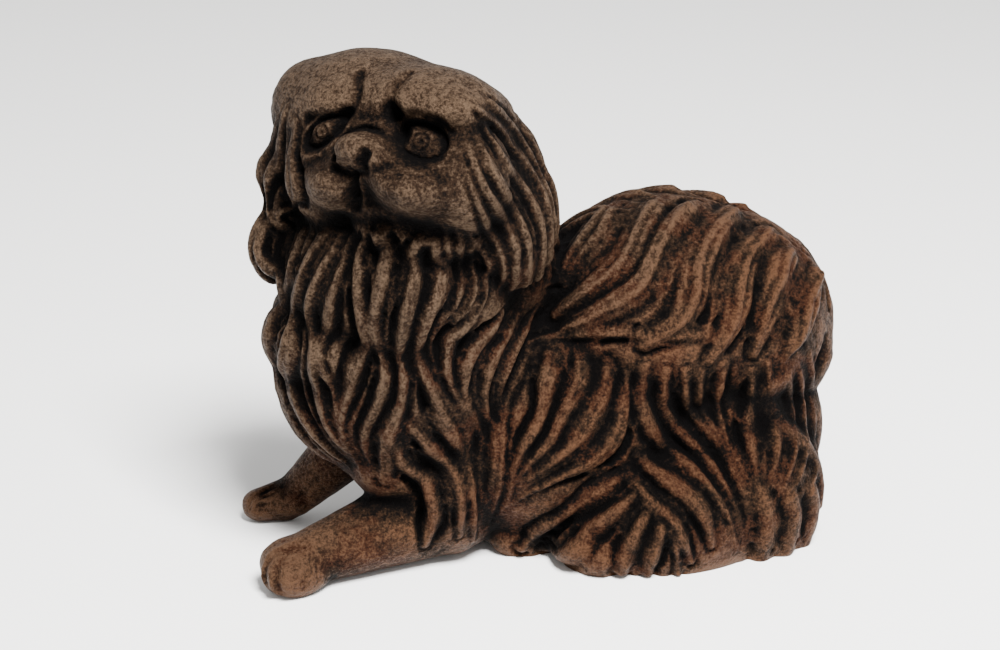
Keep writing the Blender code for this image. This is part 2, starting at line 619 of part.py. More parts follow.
def carve_toes(mesh):
    """Press the grooves between the toes inwards."""
    places, normals = vertex_places(mesh) / MM, vertex_normals(mesh)
    for path, radius, depth in TOE_GROOVES:
        stops = resampled(path, 12 * len(path))
        low, high = stops.min(axis=0) - radius, stops.max(axis=0) + radius
        box = np.all((places > low) & (places < high), axis=1)
        near = np.flatnonzero(box)
        apart = np.linalg.norm(places[near, None] - stops[None], axis=2).min(axis=1)
        fall = np.clip(1 - (apart / radius) ** 2, 0, 1)
        places[near] -= normals[near] * (fall * depth)[:, None]
    set_places(mesh, places * MM)


def largest_body(skin):
    """Drop every crumb and bubble beside the main body."""
    bm = bmesh.new()
    bm.from_mesh(skin)
    left, bodies = set(bm.verts), []
    while left:
        body, edge = [], [left.pop()]
        while edge:
            vert = edge.pop()
            body.append(vert)
            beside = [link.other_vert(vert) for link in vert.link_edges]
            fresh = [other for other in beside if other in left]
            left.difference_update(fresh)
            edge.extend(fresh)
        bodies.append(body)
    bodies.sort(key=len)
    bmesh.ops.delete(bm, geom=[vert for body in bodies[:-1] for vert in body], context="VERTS")
    bm.to_mesh(skin)
    bm.free()
    return skin


def thinned(skin):
    """The skin with far fewer, larger facets."""
    body = bpy.data.objects.new("thinned", skin)
    bpy.context.scene.collection.objects.link(body)
    skin.calc_loop_triangles()
    decimate = body.modifiers.new("thin", "DECIMATE")
    decimate.ratio = TRIANGLES / len(skin.loop_triangles)
    decimate.use_collapse_triangulate = True
    depsgraph = bpy.context.evaluated_depsgraph_get()
    coarse = bpy.data.meshes.new_from_object(body.evaluated_get(depsgraph))
    bpy.data.objects.remove(body)
    return coarse


def seated(skin):
    """Cut the skin flat at the floor and centre its box on the origin."""
    bm = bmesh.new()
    bm.from_mesh(skin)
    geometry = bm.verts[:] + bm.edges[:] + bm.faces[:]
    cut = bmesh.ops.bisect_plane(
        bm, geom=geometry, dist=1e-7, plane_co=(0, 0, 0), plane_no=(0, 0, 1), clear_inner=True
    )
    rim = [item for item in cut["geom_cut"] if isinstance(item, bmesh.types.BMEdge)]
    bmesh.ops.holes_fill(bm, edges=rim, sides=0)
    bmesh.ops.triangulate(bm, faces=[face for face in bm.faces if len(face.verts) > 3])
    xs = [vert.co.x for vert in bm.verts]
    ys = [vert.co.y for vert in bm.verts]
    middle = Vector((-(min(xs) + max(xs)) / 2, -(min(ys) + max(ys)) / 2, 0))
    bmesh.ops.translate(bm, verts=bm.verts, vec=middle)
    bmesh.ops.recalc_face_normals(bm, faces=bm.faces)
    mesh = bpy.data.meshes.new(NAME)
    bm.to_mesh(mesh)
    bm.free()
    return mesh


def iron():
    """Old cast iron with a brown patina."""
    material = bpy.data.materials.new("iron")
    material.use_nodes = True
    shader = material.node_tree.nodes["Principled BSDF"]
    shader.inputs["Base Color"].default_value = PATINA
    shader.inputs["Metallic"].default_value = 0.5
    shader.inputs["Roughness"].default_value = 0.6
    material.diffuse_color = PATINA
    return material


def main():
    for leftover in list(bpy.data.objects):
        bpy.data.objects.remove(leftover)
    form = build_form()
    tree = tree_of(form)
    raise_coats(form, tree, lay_locks(tree, head_frame()))
    carve_face(form, FACE)
    carve_toes(form)
    skin = largest_body(fused("coated", form, COAT_VOXEL, COAT_SMOOTH))
    mesh = largest_body(seated(thinned(skin)))
    mesh.materials.append(iron())
    statue = bpy.data.collections.new("dog statue")
    bpy.context.scene.collection.children.link(statue)
    statue.objects.link(bpy.data.objects.new(NAME, mesh))


main()
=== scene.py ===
"""A cast iron statue of a lying long-haired lap dog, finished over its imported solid.

Metres, +Z up. The dog faces -X and its left side is -Y. The statue is one casting, so it is
one piece: a smooth body of overlapping masses, locks of fur raised on it, a carved face and
paws, then the patina. Tables are in millimetres and degrees.
"""

import math
from collections import namedtuple

import bmesh
import bpy
import numpy as np
from bpy.props import FloatProperty, FloatVectorProperty, IntProperty, PointerProperty
from mathutils import Matrix, Vector, noise
from mathutils.bvhtree import BVHTree


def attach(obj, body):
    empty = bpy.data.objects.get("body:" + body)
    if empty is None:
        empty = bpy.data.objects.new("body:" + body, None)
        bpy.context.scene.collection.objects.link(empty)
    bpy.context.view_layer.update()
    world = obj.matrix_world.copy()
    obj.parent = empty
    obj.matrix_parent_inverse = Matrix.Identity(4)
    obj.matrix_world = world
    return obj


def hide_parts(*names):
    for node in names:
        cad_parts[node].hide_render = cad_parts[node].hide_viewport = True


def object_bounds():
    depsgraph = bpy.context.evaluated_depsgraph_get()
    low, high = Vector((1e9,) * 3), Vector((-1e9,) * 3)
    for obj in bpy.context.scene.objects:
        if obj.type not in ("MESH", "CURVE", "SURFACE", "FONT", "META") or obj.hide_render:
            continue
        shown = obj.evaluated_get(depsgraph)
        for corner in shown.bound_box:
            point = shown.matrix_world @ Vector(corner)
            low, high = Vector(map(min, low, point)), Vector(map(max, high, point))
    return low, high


bl_info = {
    "name": "Cast iron dog statue",
    "version": (1, 0, 0),
    "blender": (4, 5, 0),
    "location": "3D View > Sidebar > Dog Statue",
    "description": "Builds a lying long-haired lap dog in cast iron, with its patina and stage",
    "category": "Add Mesh",
}

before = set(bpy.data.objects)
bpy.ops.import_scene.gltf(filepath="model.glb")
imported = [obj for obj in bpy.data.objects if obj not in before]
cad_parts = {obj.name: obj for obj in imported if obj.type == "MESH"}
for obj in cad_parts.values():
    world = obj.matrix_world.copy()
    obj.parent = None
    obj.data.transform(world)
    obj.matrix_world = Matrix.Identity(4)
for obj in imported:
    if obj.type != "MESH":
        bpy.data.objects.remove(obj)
CAD_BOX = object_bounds()
NODE = "dog"
MM = 0.001

# ---------------------------------------------------------------------------------------
# The masses under the fur: centre and half sizes, then yaw, pitch and roll of those that are
# turned.

TORSO = (
    ((-76, 2, 118), (67, 55, 84), (0, 8, 0)),  # chest under the mane
    ((-102.5, 3, 105), (46, 46, 55), (0, 10, 0)),  # front of the mane
    ((-119.5, 1, 128), (35, 42, 30)),  # beard
    ((-110, -4, 162), (36, 40, 43)),  # beard under the jaw
    ((-87, -27, 164), (37, 32, 44)),
    ((-62, -26, 160), (32, 30, 34)),
    ((-88, -14, 66), (31, 28, 32)),  # lower tier of the mane
    ((-66, -24, 48), (25, 22, 46), (0, -8, 0)),  # near elbow
    ((-66, 28, 48), (25, 22, 46), (0, -8, 0)),  # far elbow
    ((10, 0, 66), (90, 57, 76)),  # ribs and belly
    ((86, 0, 54), (70.5, 59, 57)),  # hindquarters
    ((-18, -24, 10), (24, 15, 16)),
    ((-42, 4, 160), (46, 42, 48), (0, -20, 0)),  # neck
)
PLUME = (
    ((63, 0, 123), (77, 57, 66), (0, 2, 0)),
    ((110, 0, 141), (30, 46, 33)),
    ((100, 0, 114), (63.5, 53, 60), (0, 40, 0)),
)
HAUNCH = (
    ((56, -45, 20), (58, 36, 44)),
    ((101, -38, 24), (44.5, 38, 54)),
    ((118, -30, 14), (28, 34, 24)),
    ((19, -45, 11), (30, 30, 20)),
)
# In the head's own axes: x to the dog's left, y backwards, z up.
HEAD = (
    ((-8, 13, 4), (57, 50, 46)),  # skull
    ((-30, 6, 20), (54, 44, 38.3)),  # crown
    ((4, 9, 18), (42, 38, 33)),
    ((-62, 2, 25), (23, 27, 27)),  # far temple
    ((4, -6, 31), (45, 32, 21)),  # forehead
    ((24, -18, 31), (24, 20, 12)),  # brows
    ((-32, -20, 31), (24, 20, 12)),
    ((18, -30, -8), (25, 20, 14)),  # flews
    ((-26, -31, -9), (18, 18, 15)),
    ((-7, -36, 5), (21, 16, 12)),  # muzzle
    ((-7, -47, 10), (17, 11, 10)),  # nose
    ((-5, -26, -28), (20, 12, 9)),  # chin
    ((35, -13, -4), (24, 25, 27)),  # cheeks
    ((-42, -14, -4), (24, 26, 30)),
    ((0, -3, -26), (44, 29, 25)),  # jaw
)
EARS = (
    ((32, 11, 22), (16, 25, 19.5)),
    ((38, 25, -16), (19, 31, 42), (0, 0, -6)),
    ((46.5, 29, -29), (16.5, 28, 34)),
    ((-61, 0, 10), (20, 24, 32)),
    ((-76, -4, -9), (14, 17, 16)),
    ((-70, -5, -28), (13, 17, 14)),
    ((-79, -3, -48), (15, 20, 21.5)),
)
NEAR_LEG = ((-60, -12, 28), (-107, -24, 20), (-153, -36, 14)), (28, 20, 13.5)
FAR_LEG = ((-98, 34, 54), (-136, 43, 15), (-156, 47, 10)), (19.5, 12, 9.5)
TOES = (
    ((-150, -45, 11), (19, 9, 12), (14, 0, 0)),  # near paw
    ((-158, -38, 12), (13, 7.5, 14.5), (14, 0, 0)),
    ((-154, -29, 14), (17, 8, 13), (14, 0, 0)),
    ((-154, 46, 8), (12, 6.5, 8.5), (-6, 0, 0)),  # far paw
    ((-158, 49, 9), (8.5, 6.5, 9.5), (-6, 0, 0)),
    ((-143, 45, 8), (13, 8, 9), (-6, 0, 0)),
)

# ---------------------------------------------------------------------------------------
# The coats of locks. Each has its way of measuring, number of locks, height, lift of the tips
# and sway, half width against the space between locks, depth of the skin between locks, number
# of plies that creases divide a lock into, and guides. Guides run from the first lock to the
# last, each from root to tip, and are measured in one of these ways:
#   "ring": degrees about the upright axis of the neck, height; "rim" is the same from outside
#   "side": x and height, seen from the dog's left
#   "over": x, degrees about the lengthwise axis of the back (90 is the top)
#   "head": longitude and latitude in the head's axes

Coat = namedtuple("Coat", "way locks height lift sway share groove plies guides")
COATS = {
    "rump": Coat("side", 5, 6, 0, 0, 0.46, 3, 1, (
        ((98, 105), (99, 86), (96, 71), (95, 59), (96, 44)),
        ((109, 111), (113, 91), (116, 75), (113, 60), (104, 44)),
        ((122, 110), (128, 90), (130, 72), (126, 56), (116, 40)),
        ((134, 106), (139, 84), (141, 64), (137, 48), (128, 34)),
    )),
    "stern": Coat("ring", 5, 6, 0, 1, 0.46, 3, 1, (
        ((166, 108), (165, 80), (165, 50), (166, 20)),
        ((180, 112), (181, 82), (179, 50), (180, 16)),
        ((194, 108), (195, 80), (195, 50), (194, 20)),
    )),
    "haunch": Coat("side", 5, 6.5, 0, 0, 0.52, 2.8, 1, (
        ((37, 115), (36, 95), (38, 80), (49, 66), (61, 56), (71, 43), (79, 29), (84, 8)),
        ((58, 112), (60, 92), (67, 79), (78, 66), (83, 53), (88, 40), (91, 14)),
        ((81, 110), (79, 92), (80, 78), (84, 64), (90, 51), (94, 34)),
    )),
    "thigh": Coat("side", 3, 7, 1, 0, 0.48, 3, 1, (
        ((33, 64), (40, 57), (52, 49), (62, 38), (69, 14)),
        ((28, 53), (35, 44), (46, 33), (57, 8)),
        ((30, 46), (38, 36), (46, 24), (50, 2)),
    )),
    "heel": Coat("side", 3, 5, 0, 0, 0.5, 3, 1, (
        ((98, 42), (101, 24), (100, 0)),
        ((130, 38), (134, 22), (130, 0)),
    )),
    "flank": Coat("side", 4, 7, 1, 0, 0.47, 4, 2, (
        ((-11, 119), (-15, 108), (-17, 99), (-21, 88), (-29, 75), (-34, 60), (-36, 36)),
        ((5, 119), (3, 109), (-2, 101), (-9, 90), (-15, 78), (-24, 67), (-33, 54)),
        ((19, 116), (17, 104), (12, 96), (6, 86), (-2, 76), (-13, 66), (-28, 54)),
        ((28, 113), (26, 95), (23, 83), (18, 72), (8, 64), (-4, 59), (-17, 52), (-29, 44),
         (-39, 33)),
    )),
    "foot": Coat("side", 4, 6, 0, 0, 0.47, 3, 1, (
        ((28, 56), (16, 49), (5, 41), (-6, 31), (-17, 20), (-28, 4)),
        ((31, 49), (20, 40), (9, 30), (-3, 17), (-12, 3)),
        ((34, 41), (28, 31), (23, 20), (20, 4)),
        ((40, 34), (37, 23), (35, 14), (33, 2)),
    )),
    "feather": Coat("side", 3, 9, 1, 0, 0.44, 5, 1, (
        ((-98, 86), (-93, 70), (-82, 59), (-78, 49), (-77, 35), (-81, 18)),
        ((-88, 90), (-77, 76), (-68, 65), (-64, 54), (-62, 41), (-62, 18)),
        ((-77, 98), (-69, 85), (-61, 73), (-57, 60), (-55, 42), (-53, 14)),
    )),
    "mane": Coat("ring", 8, 9, 0, 3.4, 0.42, 5, 2, (
        ((7, 195), (11, 168), (-1, 138), (0, 112), (5, 92), (12, 66), (13, 48)),
        ((21, 195), (19, 168), (12, 146), (13, 130), (11, 111), (15, 96), (20, 82), (24, 64),
         (26, 48)),
        ((31, 199), (28, 173), (22, 150), (24, 135), (27, 112), (28, 88), (33, 64), (35, 46)),
        ((38, 201), (35, 175), (29, 156), (28, 141), (32, 125), (33, 104), (31, 84), (34, 64),
         (36, 46)),
        ((46, 205), (46, 177), (45, 150), (42, 129), (41, 112), (36, 96), (33, 84), (35, 62),
         (37, 44)),
        ((56, 206), (55, 177), (53, 150), (59, 124), (58, 112), (48, 98), (40, 88), (40, 74),
         (45, 54)),
        ((74, 203), (72, 184), (65, 160), (65, 138), (69, 119), (68, 108), (60, 96), (53, 86),
         (50, 56)),
        ((79, 205), (84, 189), (82, 172), (76, 154), (76, 132), (82, 113), (93, 95),
         (101, 76), (106, 44)),
    )),
    "beard": Coat("ring", 4, 9, 2, 1, 0.42, 5, 2, (
        ((84, 208), (88, 193), (91, 176), (87, 165), (79, 154)),
        ((89, 206), (95, 190), (98, 173), (94, 161), (86, 152)),
        ((95, 203), (103, 186), (105, 168), (100, 158), (93, 150)),
        ((103, 195), (111, 181), (111, 165), (106, 155), (100, 148)),
    )),
    "shoulder": Coat("ring", 5, 9, 0, 2, 0.42, 5, 2, (
        ((106, 153), (96, 143), (87, 134), (85, 121), (91, 110), (100, 96), (109, 75), (112, 40)),
        ((127, 148), (114, 137), (101, 129), (97, 114), (104, 99), (112, 83), (116, 58), (118, 20)),
        ((141, 143), (128, 132), (116, 123), (112, 108), (118, 92), (120, 76), (121, 22)),
        ((154, 141), (143, 128), (130, 121), (124, 106), (124, 88), (121, 66), (123, 18)),
        ((158, 130), (144, 122), (134, 110), (128, 98), (124, 78), (124, 54), (126, 14)),
    )),
    "far mane": Coat("ring", 12, 9, 0, 2.6, 0.42, 5, 2, (
        ((-8, 195), (-2, 170), (1, 145), (-4, 114), (2, 86), (3, 62), (4, 48)),
        ((-40, 192), (-30, 168), (-34, 145), (-34, 116), (-26, 90), (-20, 64), (-18, 50)),
        ((-76, 188), (-66, 168), (-72, 145), (-66, 118), (-58, 95), (-46, 66), (-42, 52)),
        ((-100, 190), (-96, 165), (-90, 140), (-94, 115), (-104, 88), (-110, 50)),
        ((-130, 170), (-112, 145), (-106, 120), (-112, 90), (-121, 24)),
        ((-152, 150), (-140, 122), (-137, 106), (-128, 84), (-124, 54), (-128, 14)),
    )),
    "plume": Coat("over", 7, 7, 1, 0, 0.5, 3, 3, (
        ((38, 96), (21, 82), (6, 74), (-12, 58)),
        ((58, 88), (42, 71), (28, 59), (14, 54), (-8, 46)),
        ((82, 86), (59, 70), (46, 58), (36, 46), (18, 39), (-14, 28)),
        ((105, 88), (80, 64), (68, 51), (62, 39), (53, 27), (34, 16)),
        ((121, 76), (102, 60), (94, 46), (89, 32), (81, 18), (70, 2)),
        ((132, 66), (116, 48), (109, 33), (104, 21), (97, 4)),
        ((146, 62), (136, 38), (128, 20), (116, -2)),
    )),
    "near ear": Coat("side", 6, 5, 0, 0, 0.46, 4, 2, (
        ((-67, 238), (-60, 221), (-53, 206), (-45, 191), (-41, 176), (-43, 156)),
        ((-63, 247), (-57, 229), (-48, 215), (-38, 197), (-35, 182), (-35, 152)),
        ((-58, 254), (-52, 237), (-43, 221), (-32, 200), (-28, 182), (-27, 152)),
        ((-54, 258), (-46, 243), (-34, 225), (-23, 209), (-19, 190), (-19, 156)),
        ((-58, 266), (-40, 249), (-27, 229), (-18, 216), (-14, 198), (-12, 164)),
        ((-50, 268), (-34, 250), (-23, 233), (-17, 219), (-12, 206), (-8, 176)),
    )),
    "far ear": Coat("rim", 6, 6, 0, 0, 0.46, 4, 2, (
        ((5, 248), (4, 238), (9, 223), (7, 211), (-3, 197), (0, 183), (4, 172), (9, 158)),
        ((-5, 254), (-6, 241), (-8, 229), (-10, 215), (-11, 202), (-5, 192), (-1, 181), (1, 164)),
        ((-10, 246), (-16, 230), (-18, 217), (-17, 206), (-14, 197), (-9, 189), (-8, 179),
         (-8, 162)),
        ((-22, 246), (-28, 228), (-28, 214), (-24, 202), (-21, 191), (-19, 178), (-18, 160)),
        ((-34, 246), (-38, 226), (-36, 208), (-33, 192), (-31, 178), (-30, 160)),
        ((-46, 246), (-49, 226), (-47, 208), (-44, 192), (-42, 178), (-41, 160)),
    )),
    "far ear back": Coat("head", 3, 7, 0, 0.5, 0.44, 4, 1, (
        ((-102, 38), (-104, 14), (-106, -10), (-106, -28), (-102, -46)),
        ((-124, 42), (-128, 14), (-128, -10), (-124, -28), (-116, -46)),
    )),
    "nape": Coat("ring", 9, 5, 1, 1, 0.46, 3, 2, (
        ((152, 248), (154, 222), (155, 200), (157, 176), (160, 154)),
        ((200, 256), (200, 230), (199, 206), (198, 180), (196, 160)),
        ((248, 250), (249, 224), (250, 200), (252, 172), (250, 148)),
        ((276, 238), (279, 212), (281, 188), (284, 162), (282, 138)),
    )),
    "tail": Coat("ring", 5, 2, 0, 0, 0.48, 2, 3, (
        ((168, 158), (167, 143), (167, 128), (168, 112)),
        ((180, 160), (181, 144), (179, 128), (180, 110)),
        ((192, 158), (193, 143), (193, 128), (192, 112)),
    )),
}
MIRRORED = ("rump", "haunch", "thigh", "heel", "flank", "foot", "plume", "feather")


def loop(x, z, across, up, fall, count=24):
    """Closed path round an eye, falling towards +x by the given slope."""
    turns = [2 * math.pi * i / count for i in range(count + 1)]
    return [
        (x + across * math.cos(a), z + up * math.sin(a) - fall * across * math.cos(a))
        for a in turns
    ]


# Strokes on the face: (x, z) points in the head's axes, radius and depth. A negative depth
# raises. The fine ones are pressed into the finished skin.
FACE = (
    (((9, 16), (19, 15), (27, 13)), 13, 4),  # eye sockets
    (((-25, 18), (-33, 16), (-41, 13)), 11, 3.5),
    (((4, 29), (5, 24), (8, 17)), 7, 4),  # inner corners
    (((-23, 25), (-25, 19)), 5, 2.5),
    (((2, 28), (9, 25.5), (18, 25), (27, 24)), 6.5, 4),  # under the brows
    (((24, 24), (31, 22)), 6, 1.5),
    (((-21, 26), (-28, 25), (-36, 23.5), (-43, 22)), 4.5, 3),
    (((7, 46), (3.5, 39), (2, 32), (3, 27)), 4, 3.5),  # creases between the brows
    (((-20, 44), (-17, 36), (-19, 29), (-23, 25)), 4, 3),
    (((17, 14.5), (22, 14)), 9.5, -6.5),  # eyeballs
    (((-36, 15), (-32, 16.5)), 8.5, -5.2),
    (((-29, 8), (-23, 17), (-11, 22), (2, 19), (8, 11)), 3.5, -1.5),  # fold over the nose
    (((-20, 0), (-11, -2.5), (-2, 0)), 3.6, 3.4),  # under the nose
    (((9, -7), (20, -11)), 17, -6),  # flews
    (((-25, -8), (-32, -12)), 14, -4),
    (((-10, -3), (-12.5, -10)), 2.8, 3.4),  # parting of the lips
    (((-13.5, -13), (-15.5, -20)), 4.2, 5.5),  # mouth
    (((-24, -29), (-7, -28), (11, -29), (24, -31), (36, -34), (46, -43)), 8, 5),  # jaw
)
FINE_FACE = (
    (loop(19, 14.5, 12, 8.5, 0.2), 2.2, 2.4),  # round the eyes
    (loop(-34.5, 16, 10.5, 6.5, -0.5), 2, 2.2),
    (loop(19, 14, 16, 12, 0.2), 2.6, -1.3),  # lids
    (loop(-34.5, 15.5, 14, 9.5, -0.5), 2.4, -1.1),
    (loop(19, 14.5, 3.9, 3.9, 0), 1.2, 1.3),  # irises
    (loop(-34.5, 16, 3.5, 3.5, 0), 1.1, 1.2),
    (((19, 14.5), (19.2, 14.5)), 1.7, 1.6),  # pupils
    (((-34.5, 16), (-34.3, 16)), 1.5, 1.4),
    (((-25, 7), (-20, 15), (-10, 19), (1, 17), (7, 10)), 2.2, 1.6),  # round the nose
    (((-21, 5), (-22, 9)), 3.2, 4),  # nostrils
    (((-3, 3.5), (-1, 8)), 4.4, 4.8),
    (((-11, 1), (-11, -5), (-14, -14)), 1.6, 2.4),  # parting of the lip
    (((-8, -4), (-9, -10), (-10, -18)), 2.2, -1),  # rim of the near flew
    (((5, 0), (13, 4), (25, 3), (36, -3)), 2.4, 1),  # upper edges of the flews
    (((-25, -3), (-35, 2), (-46, -4)), 2.4, 1),
)
# Grooves between the toes: (x, y, z) points, radius and depth.
TOE_GROOVES = (
    (((-163, -52, 3), (-164, -52, 12), (-164, -49, 21), (-157, -44, 27),
      (-144, -43, 29)), 3.5, 3.2),
    (((-170, -44, 8), (-170, -42, 18), (-163, -41, 26), (-152, -40, 28)), 3.2, 2.8),
    (((-152, -57, 3), (-151, -56, 12), (-146, -53, 20)), 3, 2),
    (((-166, 40, 4), (-165, 41, 13), (-160, 42, 19), (-152, 43, 21)), 2.8, 2.6),
    (((-161, 37, 3), (-159, 37, 11), (-154, 39, 17)), 2.6, 2.2),
    (((-135, 31, 22), (-134, 30, 15), (-131, 31, 7)), 3, 2),
)

# How the guides are laid on the body.
NECK_X = -70  # the upright axis of the neck
BACK_Z = 110  # the lengthwise axis of the back
OUTSIDE = 300  # well beyond the statue on any side
FAR = 400  # longer than any way across the statue
HEAD_REACH = 104  # no part of the head lies further from its centre
PATH_STEPS = 30  # stations along a lock
FINE_STEPS = 5 * PATH_STEPS  # stations along it when it is cut
EVEN_NORMALS, EVEN_POINTS = 8, 2  # how often its directions and its course are evened out

# How far the locks stray from their guides and from each other.
STRAY = 0.22  # sideways, against the space between locks
UNEVEN_ROOT, UNEVEN_TIP = 0.02, 0.04  # at the ends, against the lock's length
UNEVEN_WIDTH, UNEVEN_HEIGHT = 0.12, 0.15  # against the lock's own
WAVES, WAVE_SHIFT = 1.8, 0.12  # along a swaying lock, and how far locks differ in them

# How the locks are cut.
LEAST_WIDTH, MOST_WIDTH = 3, 13  # half widths
LOCK_RISE = 1.5  # most height against half width
WIDTH_ALONG = ((0, 0.12, 0.75, 1), (0.7, 1, 0.95, 0.45))  # share of the width from root to tip
RISE_ALONG = ((0, 0.07, 0.85, 1), (0.3, 1, 0.9, 0.4))  # share of the height from root to tip
FLOOR_REACH = 24  # the lower below this height, the more width a lock keeps to its end
ROUNDNESS = 0.95  # power of a lock's cross-section: less is blunter
GROOVE_SHARE = 0.6  # most depth of the skin between locks against the locks' height
MOAT = 1.6  # how far that sinking reaches past a lock's middle, in half widths
PLY_DEPTH = 0.28  # depth of the creases that divide a lock, against its half width
PLY_DRIFT, PLY_WAVES = 0.2, 1.3  # how far they wander across it, and how often
LEAN = 0.45  # most by which one flank of a lock stands higher than the other
FACING = 0.2  # a lock raises no skin that turns further than this cosine from its own
REACH = 16  # furthest a lock stands off the form

# How the head is softened and carved, in the head's axes.
SOFT_BACK, SOFT_LEAN = 36, 1.3  # softened to this far back at the eyes, and further above them
SOFT_LOW = -32  # and to this far down
FACE_BACK = -8  # face strokes reach no further back than this
FACE_MIDDLE, FACE_SPREAD = (-5, 4), (50, 27)  # the window that is cut finer
FACE_EDGE = 0.8  # longest edge kept in it
FACE_STOPS, TOE_STOPS = 6, 12  # how many times each stroke presses for each of its points

# Cells of a quick build, in metres, and how often a form of such cells is smoothed.
QUICK_FORM, QUICK_COAT = 0.0018, 0.0016
FORM_PASSES = 20
LUMP, SMALL_LUMP = 9 * MM, 3.2 * MM  # unevenness left by the sand mould

# The patina: size in mm of each pattern, and its noise's detail and roughness. The grit of the
# sand is about 0.3 mm, too fine to show, so its pits are drawn five times as coarse.
PATCHES, MOTTLE, PITS = (24, 3, 0.55), (4, 6, 0.7), (1.5, 4, 0.7)
PIT_DEPTH = 1.8 * MM
LEVEL_BASE = -2.75  # brings an open, even spot of average grain to 0.3
EASED = {"interpolation_type": "SMOOTHSTEP"}
MULTIPLY_ADD = {"operation": "MULTIPLY_ADD"}

LENS, SENSOR = 85, 36  # of the camera, mm
LIGHTS = (  # name, place from the aim point and size in metres, power in watts
    ("key", (0.15, -0.9, 1.5), 0.6, 165),
    ("fill", (1.2, -0.8, 0.7), 1.2, 5),
)


def linear(code):
    """Linear red, green and blue of an sRGB hex colour."""
    parts = [int(code[i : i + 2], 16) / 255 for i in (1, 3, 5)]
    return tuple(c / 12.92 if c <= 0.04045 else ((c + 0.055) / 1.055) ** 2.4 for c in parts)


def colour_of(code, name, description):
    """A colour setting with its default given as sRGB hex."""
    return FloatVectorProperty(
        name=name, description=description, default=linear(code), subtype="COLOR",
        size=3, min=0, max=1,
    )


def angle_of(degrees, name, description):
    """An angle setting with its default given in degrees."""
    return FloatProperty(
        name=name, description=description, default=math.radians(degrees), subtype="ANGLE"
    )


class DogPose(bpy.types.PropertyGroup):
    """Where the head is and which way it looks."""

    head_centre: FloatVectorProperty(
        name="Head centre", description="Middle of the skull", default=(-0.078, -0.020, 0.225),
        subtype="TRANSLATION", unit="LENGTH", size=3,
    )
    head_yaw: angle_of(48, "Head yaw", "Turn of the head to the dog's left")
    head_pitch: angle_of(13, "Head pitch", "Lift of the muzzle")
    head_roll: angle_of(4, "Head roll", "Tilt of the head")


class DogCasting(bpy.types.PropertyGroup):
    """How finely the casting is cut."""

    form_grain: FloatProperty(
        name="Form grain", description="Cell size of the smooth body", default=0.0012,
        unit="LENGTH", min=0.0008, precision=4,
    )
    coat_grain: FloatProperty(
        name="Coat grain", description="Cell size of the carved skin", default=0.001,
        unit="LENGTH", min=0.0008, precision=4,
    )
    triangles: IntProperty(
        name="Triangles", description="Most in the casting, before the face is cut finer",
        default=172000, min=20000,
    )
    grit: FloatProperty(
        name="Sand grit", description="Height of the uneven sand-cast skin", default=0.00035,
        unit="LENGTH", min=0, precision=5,
    )


class DogPatina(bpy.types.PropertyGroup):
    """Colours of the patina, and of the painted shade and highlight on it."""

    # partly soot, partly painted shade: near black where the skin is hollow and little light
    # reaches
    recess_soot_and_shade: colour_of("#030202", "Recess", "Old wax and soot deep between the locks")
    # painted shade: darkens the sides of the locks, where less light falls
    shade: colour_of("#0c0806", "Shade", "Dark oxide on the sides of the locks")
    oxide: colour_of("#21160e", "Oxide", "Brown oxide on open surfaces")
    rust: colour_of("#2c180e", "Rust", "Redder oxide in patches")
    # rubbed wear and painted highlight: lightens the crests of the locks
    worn_and_highlight: colour_of("#4b3323", "Worn", "Rubbed crests")
    dust: colour_of("#4a3b2e", "Dust", "Grey dust on the head and upper faces")


class DogStage(bpy.types.PropertyGroup):
    """Floor, lights and camera."""

    floor_colour: colour_of("#f4f3f1", "Floor", "Pale painted floor")
    floor_size: FloatProperty(
        name="Floor size", description="Side of the floor", default=12, unit="LENGTH", min=1,
    )
    camera_distance: FloatProperty(
        name="Camera distance", description="From the aim point", default=1.3,
        unit="LENGTH", min=0.3,
    )
    camera_azimuth: angle_of(-15, "Camera azimuth", "0 looks along +Y")
    camera_elevation: angle_of(22, "Camera elevation", "Above the horizon")
    aim: FloatVectorProperty(
        name="Aim", description="Point the camera looks at", default=(-0.0184, 0.025, 0.113),
        subtype="TRANSLATION", unit="LENGTH", size=3,
    )
    sky: FloatProperty(
        name="Sky", description="Strength of the even light all round", default=0.75, min=0,
    )


# ---------------------------------------------------------------------------------------
# Helpers for numbers, places and meshes.


def wobble(seed, index):
    """A repeatable number between -1 and 1."""
    return 2 * (math.sin(seed * 12.9898 + index * 78.233) * 43758.5453 % 1) - 1


def resampled(points, count):
    """Points evenly along a smooth curve through the given ones."""
    points = np.array(points, float)
    ends = np.concatenate([[2 * points[0] - points[1]], points, [2 * points[-1] - points[-2]]])
    curve = []
    for a, b, c, d in zip(ends, ends[1:], ends[2:], ends[3:]):
        for t in np.linspace(0, 1, 12, endpoint=False):
            curve.append(
                0.5 * (2 * b + (c - a) * t + (2 * a - 5 * b + 4 * c - d) * t**2
                       + (3 * b - a - 3 * c + d) * t**3)
            )
    curve = np.array(curve + [points[-1]])
    run = np.concatenate([[0], np.cumsum(np.linalg.norm(np.diff(curve, axis=0), axis=1))])
    even = np.linspace(0, run[-1], count)
    return np.stack([np.interp(even, run, curve[:, i]) for i in range(curve.shape[1])], axis=1)


def turned(yaw=0, pitch=0, roll=0):
    """Rotation of a mass: roll about X, then pitch about Y, then yaw about Z, in degrees."""
    return (
        Matrix.Rotation(math.radians(yaw), 4, "Z")
        @ Matrix.Rotation(math.radians(pitch), 4, "Y")
        @ Matrix.Rotation(math.radians(roll), 4, "X")
    )


def head_frame():
    """Matrix from head axes (x to the dog's left, y backwards, z up) to the statue's."""
    pose = bpy.context.scene.dog_pose
    return (
        Matrix.Translation(pose.head_centre)
        @ Matrix.Rotation(pose.head_yaw - math.pi / 2, 4, "Z")
        @ Matrix.Rotation(-pose.head_pitch, 4, "X")
        @ Matrix.Rotation(-pose.head_roll, 4, "Y")
    )


